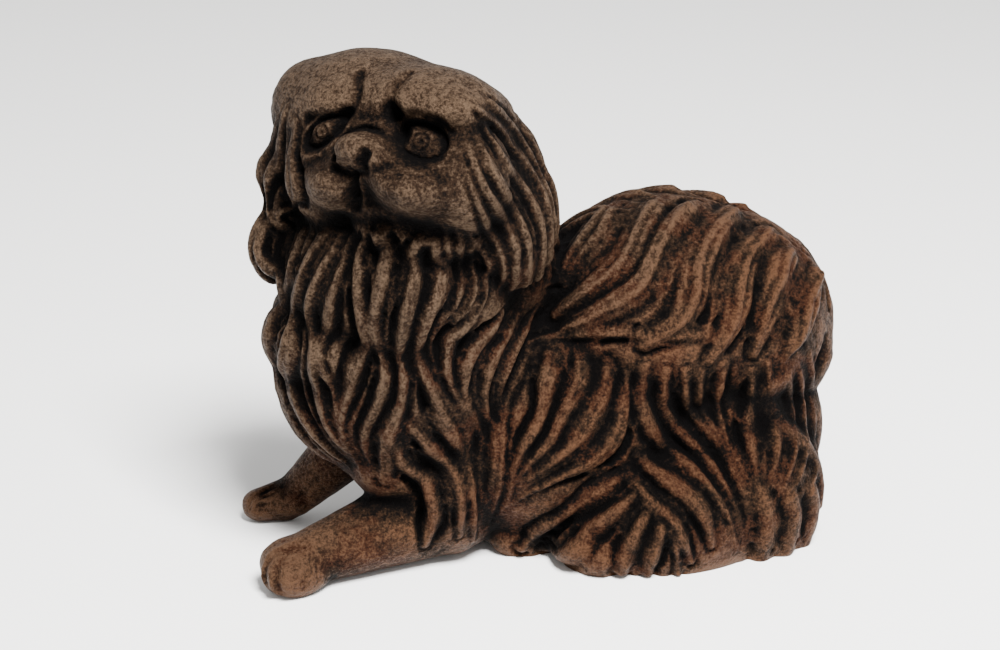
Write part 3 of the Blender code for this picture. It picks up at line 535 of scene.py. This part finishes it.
def rows_of(items, key, size=3, kind=np.float32):
    """The numbers that every item of a mesh holds under a key, one row each."""
    numbers = np.empty(len(items) * size, kind)
    items.foreach_get(key, numbers)
    return numbers.reshape(-1, size)


def edge_ends(mesh):
    """The two vertices of every edge."""
    return rows_of(mesh.edges, "vertices", 2, np.int32)


def vertex_places(mesh):
    """Place of every vertex."""
    return rows_of(mesh.vertices, "co")


def vertex_normals(mesh):
    """Outward direction at every vertex."""
    return rows_of(mesh.vertex_normals, "vector")


def set_places(mesh, places):
    """Put every vertex at its new place."""
    mesh.vertices.foreach_set("co", places.astype(np.float32).ravel())
    mesh.update()


def in_head(mesh):
    """Vertex places in the head's axes, mm."""
    inner = np.array(head_frame().inverted())
    return (vertex_places(mesh) @ inner[:3, :3].T + inner[:3, 3]) / MM


def blurred(values, edges, passes):
    """Values averaged with their neighbours' along the mesh's edges."""
    count = len(values)
    degree = np.bincount(edges.ravel(), minlength=count)
    for _ in range(passes):
        total = np.bincount(edges[:, 0], values[edges[:, 1]], count)
        total += np.bincount(edges[:, 1], values[edges[:, 0]], count)
        values = (values + total / degree) / 2
    return values


def smoothed(places, edges, passes):
    """Places averaged with their neighbours'."""
    return np.stack([blurred(part, edges, passes) for part in places.T], axis=1)


def beside(places, points, reach):
    """Indices of the places within reach of the box round some points."""
    low, high = points.min(axis=0) - reach, points.max(axis=0) + reach
    return np.flatnonzero(np.all((places > low) & (places < high), axis=1))


def pressed(places, stops, radius):
    """How hard a round tool drawn along the stops presses: 1 under it, 0 from its radius on."""
    apart = np.linalg.norm(places[:, None] - stops[None], axis=2).min(axis=1)
    return np.clip(1 - (apart / radius) ** 2, 0, 1)


def tree_of(mesh):
    """Ray caster over a mesh."""
    bm = bmesh.new()
    bm.from_mesh(mesh)
    tree = BVHTree.FromBMesh(bm)
    bm.free()
    return tree


def placed(name, data):
    """A new object in the scene."""
    made = bpy.data.objects.new(name, data)
    bpy.context.scene.collection.objects.link(made)
    return made


def as_evaluated(body):
    """The mesh of an object with its modifiers applied, the object itself taken away."""
    depsgraph = bpy.context.evaluated_depsgraph_get()
    mesh = bpy.data.meshes.new_from_object(body.evaluated_get(depsgraph))
    bpy.data.objects.remove(body)
    return mesh


# ---------------------------------------------------------------------------------------
# The smooth body.


def mirrored(masses):
    """The same masses on the dog's right side, for masses that aren't turned."""
    return tuple(((x, -y, z), half) for (x, y, z), half in masses)


def unit_ball():
    """A round mesh that every mass is stretched from."""
    bm = bmesh.new()
    bmesh.ops.create_icosphere(bm, subdivisions=5, radius=1)
    ball = bpy.data.meshes.new("ball")
    bm.to_mesh(ball)
    bm.free()
    return ball


def add_ellipsoid(bm, ball, place, centre, half, turn=(0, 0, 0)):
    """One ellipsoid, its centre and half sizes in mm within the given frame."""
    size = Matrix.Diagonal((*(Vector(half) * MM), 1))
    matrix = place @ Matrix.Translation(Vector(centre) * MM) @ turned(*turn) @ size
    first = len(bm.verts)
    bm.from_mesh(ball)
    bm.verts.ensure_lookup_table()
    bmesh.ops.transform(bm, matrix=matrix, verts=bm.verts[first:])


def add_limb(bm, ball, points, radii, beads=10):
    """A limb as a run of overlapping balls between (x, y, z) points."""
    for (a, b), (ra, rb) in zip(zip(points, points[1:]), zip(radii, radii[1:])):
        for i in range(beads + 1):
            centre = Vector(a).lerp(Vector(b), i / beads)
            r = ra + (rb - ra) * i / beads
            add_ellipsoid(bm, ball, Matrix.Identity(4), centre, (r, r, r))


def fused(name, mesh, voxel, smoothing):
    """One closed skin over every overlapping body of a mesh."""
    body = placed(name, mesh)
    remesh = body.modifiers.new("fuse", "REMESH")
    remesh.mode = "VOXEL"
    remesh.voxel_size = voxel
    smooth = body.modifiers.new("soften", "SMOOTH")
    smooth.factor = 0.5
    smooth.iterations = smoothing
    return as_evaluated(body)


def build_form(grain):
    """The smooth body under the fur."""
    ball = unit_ball()
    bm = bmesh.new()
    world = Matrix.Identity(4)
    for mass in TORSO + PLUME + HAUNCH + mirrored(HAUNCH) + TOES:
        add_ellipsoid(bm, ball, world, *mass)
    head = head_frame()
    for mass in HEAD + EARS:
        add_ellipsoid(bm, ball, head, *mass)
    add_limb(bm, ball, *NEAR_LEG)
    add_limb(bm, ball, *FAR_LEG)
    mesh = bpy.data.meshes.new("masses")
    bm.to_mesh(mesh)
    bm.free()
    bpy.data.meshes.remove(ball)
    passes = round(FORM_PASSES * (QUICK_FORM / grain) ** 2)  # as smooth at any grain
    return softened(fused("form", mesh, grain, passes), 2 * passes)


def softened(form, passes):
    """Smooth the face and crown further, so that their masses flow together."""
    places = vertex_places(form).astype(float)
    own = in_head(form)
    back = SOFT_BACK + SOFT_LEAN * np.clip(own[:, 2], 0, None)
    share = np.clip((own[:, 2] - SOFT_LOW) / 12, 0, 1)  # fades in over 12 mm upwards
    share *= np.clip((back - own[:, 1]) / 20, 0, 1)  # and over 20 mm forwards
    edges = edge_ends(form)
    soft = smoothed(places, edges, passes)
    set_places(form, places + (soft - places) * share[:, None])
    return form


# ---------------------------------------------------------------------------------------
# The locks.


def cast(tree, way, u, v, mirror, head):
    """Point and outward normal of the form at one guide coordinate."""
    if way == "side":
        start = Vector((u, -OUTSIDE, max(v, 1)))
        heading = Vector((0, 1, 0))
    elif way in ("ring", "rim"):
        angle = math.radians(u)
        start = Vector((NECK_X, 0, v))
        heading = Vector((-math.cos(angle), -math.sin(angle), 0))
        if way == "rim":
            start, heading = start + OUTSIDE * heading, -heading
    elif way == "over":
        angle = math.radians(v)
        start = Vector((u, 0, BACK_Z))
        heading = Vector((0, -math.cos(angle), math.sin(angle)))
    else:
        lon, lat = math.radians(u), math.radians(v)
        start = head.translation / MM
        level = Vector((math.sin(lon), -math.cos(lon), 0)) * math.cos(lat)
        heading = head.to_3x3() @ (level + Vector((0, 0, math.sin(lat))))
    if mirror:
        start.y, heading.y = -start.y, -heading.y
    reach = HEAD_REACH if way == "head" else FAR
    point, normal, _, _ = tree.ray_cast(start * MM, heading, reach * MM)
    return None if point is None else (*point, *normal)


def lay_paths(tree, coat, seed, mirror, head):
    """Centre lines of one coat's locks on the form, with the form's normals."""
    rows = np.array([resampled(guide, PATH_STEPS) for guide in coat.guides])
    paths = []
    for i in range(coat.locks):
        loose = 0 < i < coat.locks - 1 and coat.locks > len(coat.guides)
        stray = STRAY * wobble(seed + 7, i) if loose else 0
        f = (i + stray) * (len(rows) - 1) / (coat.locks - 1)
        low = min(int(f), len(rows) - 2)
        row = rows[low] + (rows[low + 1] - rows[low]) * (f - low)
        start = UNEVEN_ROOT * (1 + wobble(seed + 3, i))
        end = 1 - UNEVEN_TIP + UNEVEN_TIP * wobble(seed + 9, i)
        spots = np.linspace(start, end, PATH_STEPS) * (PATH_STEPS - 1)
        row = np.stack([np.interp(spots, range(PATH_STEPS), part) for part in row.T], axis=1)
        hits = [cast(tree, coat.way, u, v, mirror, head) for u, v in row]
        hits = resampled([hit for hit in hits if hit], PATH_STEPS)
        points, normals = hits[:, :3] / MM, hits[:, 3:]
        for _ in range(EVEN_NORMALS):  # the lock turns more evenly than the form under it
            normals[1:-1] += normals[:-2] + normals[2:]
            normals /= np.linalg.norm(normals, axis=1, keepdims=True)
        for _ in range(EVEN_POINTS):
            points[1:-1] = (points[:-2] + 2 * points[1:-1] + points[2:]) / 4
        t = np.linspace(0, 1, PATH_STEPS)
        side = np.cross(np.gradient(points, axis=0), normals)
        side /= np.linalg.norm(side, axis=1, keepdims=True) + 1e-9
        wave = coat.sway * np.sin(2 * math.pi * (WAVES * t + WAVE_SHIFT * wobble(seed, i)))
        points += side * (wave * np.sin(math.pi * t))[:, None]  # none at root and tip
        paths.append((points, normals, side))
    return paths


def gap_to(path, other):
    """How far one centre line runs beside another, at every point of the first."""
    points, _, side = path
    apart = other[0][None] - points[:, None]
    nearest = apart[np.arange(len(points)), np.linalg.norm(apart, axis=2).argmin(axis=1)]
    return np.abs((nearest * side).sum(axis=1))


def lock_sizes(paths, index, coat, seed):
    """Half widths and heights along one lock, from how far its neighbours lie."""
    others = [paths[i] for i in (index - 1, index + 1) if 0 <= i < len(paths)]
    gap = np.mean([gap_to(paths[index], other) for other in others], axis=0)
    t = np.linspace(0, 1, len(gap))
    width = coat.share * gap * (1 + UNEVEN_WIDTH * wobble(seed + 11, index))
    width = np.clip(width, LEAST_WIDTH, MOST_WIDTH)
    floor = np.clip(1 - paths[index][0][:, 2] / FLOOR_REACH, 0, 0.9)  # locks run out on the floor
    width *= np.maximum(np.interp(t, *WIDTH_ALONG), floor)
    height = coat.height * (1 + UNEVEN_HEIGHT * wobble(seed + 5, index))
    taper = np.maximum(np.interp(t, *RISE_ALONG), floor)
    rise = np.minimum(height, LOCK_RISE * width) * taper
    return width, rise


def lay_locks(tree, head):
    """Every lock as its coat, its lean and its rows.

    A row is a place, the outward and sideways directions, half width and rise. The coats in
    MIRRORED are repeated on the dog's right side.
    """
    locks = []
    t = np.linspace(0, 1, PATH_STEPS)
    fine = np.linspace(0, 1, FINE_STEPS)
    for seed, (name, coat) in enumerate(COATS.items()):
        for mirror in (False, True) if name in MIRRORED else (False,):
            paths = lay_paths(tree, coat, seed, mirror, head)
            for i, path in enumerate(paths):
                width, rise = lock_sizes(paths, i, coat, seed)
                rows = np.column_stack([*path, width, rise + coat.lift * t**3])
                rows = np.column_stack([np.interp(fine, t, part) for part in rows.T])
                locks.append((coat, wobble(seed + 13, i), rows))
    return locks


def fur_height(places, normals, locks):
    """How far the coat stands off the form at every place, in mm: the highest lock wins."""
    height = np.full(len(places), -np.inf)
    for coat, lean, rows in locks:
        centre, out, side, widths, rises = np.split(rows, (3, 6, 9, 10), axis=1)
        near = beside(places, centre, MOAT * widths.max())
        apart = places[near, None] - centre
        step = (apart**2).sum(axis=2).argmin(axis=1)
        apart = apart[np.arange(len(near)), step]
        width, rise = widths[step, 0], rises[step, 0]
        across = (apart * side[step]).sum(axis=1)
        level = (apart * out[step]).sum(axis=1)
        # the square of how far the place lies past the lock's end, if it does
        beyond = np.clip((apart**2).sum(axis=1) - across**2 - level**2 - 2, 0, None)
        r = np.sqrt(across**2 + beyond) / width
        sink = np.minimum(coat.groove, GROOVE_SHARE * rise)
        edge = np.clip((MOAT - r) / (MOAT - 1), 0, 1)
        value = rise * np.clip(1 - r**2, 0, 1) ** ROUNDNESS - sink * edge**2 * (3 - 2 * edge)
        u = across / width
        value *= 1 + LEAN * lean * np.clip(u, -1, 1)
        if coat.plies > 1:
            drift = PLY_DRIFT * np.sin(2 * math.pi * (PLY_WAVES * step / len(rows) + lean))
            crease = 1 - np.abs(np.sin(math.pi * coat.plies * (u + 1 + drift) / 2))
            value -= PLY_DEPTH * width * crease**2 * np.clip(1 - r**4, 0, 1)
        facing = (normals[near] * out[step]).sum(axis=1) > FACING
        value[~facing | (r > MOAT)] = -np.inf
        height[near] = np.maximum(height[near], value)
    return np.where(np.isinf(height), 0, height)


def raise_coats(mesh, tree, locks):
    """Move the skin out to the locks and in between them."""
    places, normals = vertex_places(mesh), vertex_normals(mesh)
    height = fur_height(places / MM, normals, locks)
    for index in np.flatnonzero(height > 1):  # none past half way to a skin that it faces
        out = Vector(normals[index])
        over = tree.ray_cast(Vector(places[index]) + out * 0.5 * MM, out, 2 * REACH * MM)[3]
        if over is not None:
            height[index] = min(height[index], max(over / MM / 2, 1))
    set_places(mesh, places + normals * (height * MM)[:, None])


# ---------------------------------------------------------------------------------------
# The face.


def carve(places, path, radius, depth):
    """Press a rounded groove along a path on the face; a negative depth raises a ridge."""
    stops = resampled(path, FACE_STOPS * len(path))
    near = beside(places[:, ::2], stops, radius)
    near = near[places[near, 1] < FACE_BACK]
    places[near, 1] += pressed(places[near, ::2], stops, radius) ** 2 * depth


def carve_face(mesh, strokes):
    """Press strokes straight back into the face, such as eyes, brows, nose and lips."""
    places, matrix = in_head(mesh), np.array(head_frame())
    for path, radius, depth in strokes:
        carve(places, path, radius, depth)
    set_places(mesh, places * MM @ matrix[:3, :3].T + matrix[:3, 3])


def carve_toes(mesh):
    """Press the grooves between the toes inwards."""
    places, normals = vertex_places(mesh) / MM, vertex_normals(mesh)
    for path, radius, depth in TOE_GROOVES:
        stops = resampled(path, TOE_STOPS * len(path))
        near = beside(places, stops, radius)
        press = pressed(places[near], stops, radius)
        places[near] -= normals[near] * (press * depth)[:, None]
    set_places(mesh, places * MM)


def refined_face(skin):
    """Split the longer edges of the eyes, nose and mouth, so that fine strokes show."""
    places = in_head(skin)
    (x, z), (across, up) = FACE_MIDDLE, FACE_SPREAD
    inside = ((places[:, 0] - x) / across) ** 2 + ((places[:, 2] - z) / up) ** 2 < 1
    inside &= places[:, 1] < FACE_BACK
    bm = bmesh.new()
    bm.from_mesh(skin)
    bm.verts.ensure_lookup_table()
    long = [
        edge for edge in bm.edges
        if all(inside[vert.index] for vert in edge.verts) and edge.calc_length() > FACE_EDGE * MM
    ]
    bmesh.ops.subdivide_edges(bm, edges=long, cuts=1)
    bmesh.ops.triangulate(bm, faces=[face for face in bm.faces if len(face.verts) > 3])
    bm.to_mesh(skin)
    bm.free()
    return skin


# ---------------------------------------------------------------------------------------
# The finished skin.


def largest_body(skin):
    """Drop every crumb and bubble beside the main body."""
    bm = bmesh.new()
    bm.from_mesh(skin)
    left, bodies = set(bm.verts), []
    while left:
        body, edge = [], [left.pop()]
        while edge:
            vert = edge.pop()
            body.append(vert)
            ends = [link.other_vert(vert) for link in vert.link_edges]
            fresh = [end for end in ends if end in left]
            left.difference_update(fresh)
            edge.extend(fresh)
        bodies.append(body)
    bodies.sort(key=len)
    bmesh.ops.delete(bm, geom=[vert for body in bodies[:-1] for vert in body], context="VERTS")
    bm.to_mesh(skin)
    bm.free()
    return skin


def seated(skin):
    """Cut the skin flat at the floor."""
    bm = bmesh.new()
    bm.from_mesh(skin)
    geometry = bm.verts[:] + bm.edges[:] + bm.faces[:]
    cut = bmesh.ops.bisect_plane(
        bm, geom=geometry, dist=1e-7, plane_co=(0, 0, 0), plane_no=(0, 0, 1), clear_inner=True
    )
    rim = [item for item in cut["geom_cut"] if isinstance(item, bmesh.types.BMEdge)]
    bmesh.ops.holes_fill(bm, edges=rim, sides=0)
    bmesh.ops.triangulate(bm, faces=[face for face in bm.faces if len(face.verts) > 3])
    bmesh.ops.recalc_face_normals(bm, faces=bm.faces)
    bm.to_mesh(skin)
    bm.free()
    return skin


def thinned(skin, most):
    """The skin with no more than the given number of triangles."""
    skin.calc_loop_triangles()
    count = len(skin.loop_triangles)
    body = placed("thinned", skin)
    decimate = body.modifiers.new("thin", "DECIMATE")
    decimate.ratio = min(1, most / count)
    decimate.use_collapse_triangulate = True
    return as_evaluated(body)


def roughened(mesh, height):
    """Give the skin the slight unevenness of a sand mould."""
    places, normals = vertex_places(mesh), vertex_normals(mesh)
    lumps = np.array([
        noise.noise(Vector(place) / LUMP) + 0.6 * noise.noise(Vector(place) / SMALL_LUMP)
        for place in places
    ])
    lumps[places[:, 2] < 0.5 * MM] = 0  # the underside stays flat
    set_places(mesh, places + normals * (lumps * height)[:, None])
    return mesh


def fitted(mesh, box):
    """Stretch the skin by the last fraction of a millimetre to fill the solid's box."""
    places = vertex_places(mesh).astype(float)
    low, high = np.array(box[0]), np.array(box[1])
    own_low, own_high = places.min(axis=0), places.max(axis=0)
    set_places(mesh, low + (places - own_low) * (high - low) / (own_high - own_low))
    return mesh


def openness(mesh, rays=14, reach=0.035, lift=0.0004):
    """How much sky each vertex sees within a short reach: 0 in a deep groove, 1 on a crest.

    The rays spread evenly over the half round above the vertex and start a little off the skin.
    """
    places, normals = vertex_places(mesh), vertex_normals(mesh)
    tree = tree_of(mesh)
    golden = math.pi * (3 - math.sqrt(5))
    lobes = []
    for i in range(rays):
        up = math.sqrt(1 - (i + 0.5) / rays)
        flat = math.sqrt(1 - up * up)
        lobes.append((flat * math.cos(golden * i), flat * math.sin(golden * i), up))
    free = np.zeros(len(places))
    for index, (place, normal) in enumerate(zip(places, normals)):
        out = Vector(normal)
        turn = out.to_track_quat("Z", "Y")
        start = Vector(place) + out * lift
        for lobe in lobes:
            over = tree.ray_cast(start, turn @ Vector(lobe), reach)[3]
            free[index] += 1 if over is None else over / reach
    return free / rays


def mark_relief(mesh):
    """Store how open and how raised the skin is at every vertex, for painted shade and highlight.

    A crest stands out of a skin smoothed a little, a ridge out of one smoothed much more.
    """
    edges = edge_ends(mesh)
    places, normals = vertex_places(mesh).astype(float), vertex_normals(mesh)
    soft = smoothed(places, edges, 10)
    softer = smoothed(soft, edges, 50)
    for name, value in (
        ("open", blurred(openness(mesh), edges, 2)),
        ("crest", ((places - soft) * normals).sum(axis=1) / (0.5 * MM)),
        ("ridge", ((places - softer) * normals).sum(axis=1) / (2 * MM)),
    ):
        attribute = mesh.attributes.new(name, "FLOAT", "POINT")
        attribute.data.foreach_set("value", value.astype(np.float32))


# ---------------------------------------------------------------------------------------
# Materials.


def node(tree, kind, settings=None, **links):
    """Add a node, set its settings and feed its inputs from sockets or constants.

    An input goes by its name, or by its number after an i, as in i0.
    """
    made = tree.nodes.new(kind)
    for key, value in (settings or {}).items():
        setattr(made, key, value)
    for key, value in links.items():
        socket = made.inputs[int(key[1:]) if key[1:].isdigit() else key]
        if isinstance(value, bpy.types.NodeSocket):
            tree.links.new(value, socket)
        else:
            socket.default_value = value
    return made


def patina():
    """Sand-cast iron under a waxed rust-brown patina.

    Sand leaves a fine pitted grain. Oxide hides the bare metal, so it is only partly metallic,
    and wax gives the rubbed crests a soft shine while the hollows stay dull. The colour is painted
    lighter on the crests, darker down the sides of the locks and near black in the hollows:
    partly wear and soot, partly painted highlight and painted shade.
    """
    colours = bpy.context.scene.dog_patina
    oxide, rust, worn_and_highlight, dust, shade, recess_soot_and_shade = (
        (*colour, 1) for colour in (
            colours.oxide, colours.rust, colours.worn_and_highlight, colours.dust, colours.shade, colours.recess_soot_and_shade
        )
    )
    material = bpy.data.materials.new("waxed cast iron")
    material.use_nodes = True
    tree = material.node_tree
    shader = tree.nodes["Principled BSDF"]
    where = node(tree, "ShaderNodeTexCoord").outputs["Object"]
    place = node(tree, "ShaderNodeSeparateXYZ", Vector=where).outputs
    relief = {
        name: node(tree, "ShaderNodeAttribute", {"attribute_name": name}).outputs["Fac"]
        for name in ("open", "ridge", "crest")
    }
    patches, mottle, pits = (
        node(
            tree, "ShaderNodeTexNoise", Vector=where, Scale=1 / (size * MM), Detail=detail,
            Roughness=roughness,
        ).outputs["Fac"]
        for size, detail, roughness in (PATCHES, MOTTLE, PITS)
    )
    front = node(  # grows towards the chest and head
        tree, "ShaderNodeMath", MULTIPLY_ADD, i0=place["X"], i1=-0.7, i2=place["Z"]
    ).outputs[0]
    mask = {  # each goes from 0 to 1 as its value goes from the first limit to the second
        name: node(tree, "ShaderNodeMapRange", EASED, i0=value, i1=start, i2=end).outputs[0]
        for name, value, start, end in (
            ("ahead", place["X"], -0.1, -0.14),
            ("low", place["Z"], 0.06, 0.03),
            ("behind", place["X"], -0.01, 0.05),
            ("high", place["Z"], 0.09, 0.13),
            ("patchy", patches, 0.42, 0.6),
            ("away from the head", front, 0.26, 0.14),
            ("dusty", front, 0.08, 0.2),
        )
    }
    paws, rusty = (
        node(tree, "ShaderNodeMath", {"operation": "MULTIPLY"}, i0=mask[one], i1=mask[two])
        for one, two in (("ahead", "low"), ("patchy", "away from the head"))
    )
    ridge = node(tree, "ShaderNodeMath", {"operation": "MINIMUM"}, i0=relief["ridge"], i1=0.8)
    # painted light and shade: the high back lighter and the low haunches darker, as light from
    # above falls
    back = node(tree, "ShaderNodeMath", MULTIPLY_ADD, i0=mask["high"], i1=0.19, i2=-0.08)
    level = LEVEL_BASE  # how far the spot stands out: below 0 in a hollow, towards 1 on a crest
    for value, weight in (
        (relief["open"], 1.2), (ridge.outputs[0], 0.45), (relief["crest"], 0.1),
        (pits, 2.0), (mottle, 1.7),
        (paws.outputs[0], 0.06),  # rubbed brighter than the rest
        (mask["behind"], back.outputs[0]),  # painted light on the high back, painted shade on the low haunches
    ):
        level = node(
            tree, "ShaderNodeMath", MULTIPLY_ADD, i0=value, i1=weight, i2=level
        ).outputs[0]
    # painted highlight and wear on the crests, painted shade down the sides, painted shade and soot
    # in the hollows
    rubbed_and_highlit, shaded, sunk = (
        node(tree, "ShaderNodeMapRange", EASED, i0=level, i1=start, i2=end).outputs[0]
        for start, end in ((0.4, 1.1), (0.42, 0.05), (0.1, -0.3))
    )
    top = node(tree, "ShaderNodeMix", {"data_type": "RGBA"}, i0=mask["dusty"], i6=worn_and_highlight, i7=dust)
    colour = oxide
    for share, over in (
        (rusty.outputs[0], rust), (rubbed_and_highlit, top.outputs[2]), (shaded, shade), (sunk, recess_soot_and_shade),
    ):
        colour = node(
            tree, "ShaderNodeMix", {"data_type": "RGBA"}, i0=share, i6=colour, i7=over
        ).outputs[2]
    roughness = node(tree, "ShaderNodeMapRange", EASED, i0=level, i3=0.8, i4=0.5)
    grain = node(tree, "ShaderNodeMath", MULTIPLY_ADD, i0=pits, i1=0.7, i2=mottle)
    bump = node(
        tree, "ShaderNodeBump", Strength=1.0, Distance=PIT_DEPTH, Height=grain.outputs[0]
    )
    tree.links.new(colour, shader.inputs["Base Color"])
    tree.links.new(roughness.outputs[0], shader.inputs["Roughness"])
    tree.links.new(bump.outputs["Normal"], shader.inputs["Normal"])
    shader.inputs["Metallic"].default_value = 0.6
    shader.inputs["Specular IOR Level"].default_value = 0.08
    return material


def matt_paint():
    """Pale matt floor paint, rolled smooth: it only takes soft shadows."""
    material = bpy.data.materials.new("matt floor paint")
    material.use_nodes = True
    shader = material.node_tree.nodes["Principled BSDF"]
    shader.inputs["Base Color"].default_value = (*bpy.context.scene.dog_stage.floor_colour, 1)
    shader.inputs["Roughness"].default_value = 0.8
    return material


# ---------------------------------------------------------------------------------------
# Operators.


class DOG_OT_casting(bpy.types.Operator):
    """Build the dog as one casting and give it its patina"""

    bl_idname = "dog_statue.casting"
    bl_label = "Dog Casting"

    def execute(self, context):
        casting = context.scene.dog_casting
        form = build_form(casting.form_grain)
        tree = tree_of(form)
        raise_coats(form, tree, lay_locks(tree, head_frame()))
        carve_face(form, FACE)
        skin = fused("coated", form, casting.coat_grain, 2)
        skin = largest_body(seated(skin))
        skin = refined_face(thinned(skin, casting.triangles))
        carve_face(skin, FINE_FACE)
        carve_toes(skin)
        skin = fitted(roughened(skin, casting.grit), CAD_BOX)
        mark_relief(skin)
        skin.shade_smooth()
        skin.materials.clear()
        skin.materials.append(patina())
        dog = placed("dog_casting", skin)
        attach(dog, "root")
        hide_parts(NODE)
        return {"FINISHED"}


class DOG_OT_stage(bpy.types.Operator):
    """Lay a pale floor and set up the soft lights and the camera"""

    bl_idname = "dog_statue.stage"
    bl_label = "Stage"

    def execute(self, context):
        stage = context.scene.dog_stage
        half = stage.floor_size / 2
        corners = [(x * half, y * half, 0) for x, y in ((-1, -1), (1, -1), (1, 1), (-1, 1))]
        mesh = bpy.data.meshes.new("floor")
        mesh.from_pydata(corners, [], [(0, 1, 2, 3)])
        mesh.materials.append(matt_paint())
        floor = placed("floor", mesh)
        world = context.scene.world or bpy.data.worlds.new("studio")
        context.scene.world = world
        world.use_nodes = True
        background = world.node_tree.nodes["Background"]
        background.inputs["Color"].default_value = (1, 1, 1, 1)
        background.inputs["Strength"].default_value = stage.sky
        aim = Vector(stage.aim)
        for name, offset, size, power in LIGHTS:
            light = bpy.data.lights.new(name, "AREA")
            light.size = size
            light.energy = power
            lamp = placed(name, light)
            lamp.location = aim + Vector(offset)
            lamp.rotation_euler = (-Vector(offset)).to_track_quat("-Z", "Y").to_euler()
        azimuth, elevation = stage.camera_azimuth, stage.camera_elevation
        back = Vector((
            math.sin(azimuth) * math.cos(elevation),
            -math.cos(azimuth) * math.cos(elevation),
            math.sin(elevation),
        ))
        camera = placed("camera", bpy.data.cameras.new("camera"))
        camera.data.lens = LENS
        camera.data.sensor_width = SENSOR
        camera.location = aim + back * stage.camera_distance
        camera.rotation_euler = (-back).to_track_quat("-Z", "Y").to_euler()
        context.scene.camera = camera
        return {"FINISHED"}


class DOG_PT_panel(bpy.types.Panel):
    """The statue's sizes, colours and steps"""

    bl_idname = "DOG_PT_panel"
    bl_label = "Dog Statue"
    bl_space_type = "VIEW_3D"
    bl_region_type = "UI"
    bl_category = "Dog Statue"

    def draw(self, context):
        for group in (getattr(context.scene, name) for name in GROUPS):
            box = self.layout.box()
            for name in group.bl_rna.properties.keys():
                if name not in ("rna_type", "name"):
                    box.prop(group, name)
        for step in STEPS:
            self.layout.operator(step)


GROUPS = {
    "dog_pose": DogPose,
    "dog_casting": DogCasting,
    "dog_patina": DogPatina,
    "dog_stage": DogStage,
}
CLASSES = (*GROUPS.values(), DOG_OT_casting, DOG_OT_stage, DOG_PT_panel)
STEPS = ("dog_statue.casting", "dog_statue.stage")


def register():
    """Add the settings, steps and panel."""
    for cls in CLASSES:
        bpy.utils.register_class(cls)
    for name, group in GROUPS.items():
        setattr(bpy.types.Scene, name, PointerProperty(type=group))


def unregister():
    """Take them away again."""
    for name in GROUPS:
        delattr(bpy.types.Scene, name)
    for cls in reversed(CLASSES):
        bpy.utils.unregister_class(cls)


def main():
    """Build the statue and its stage."""
    register()
    bpy.ops.dog_statue.casting()
    bpy.ops.dog_statue.stage()


if __name__ == "__main__":
    main()
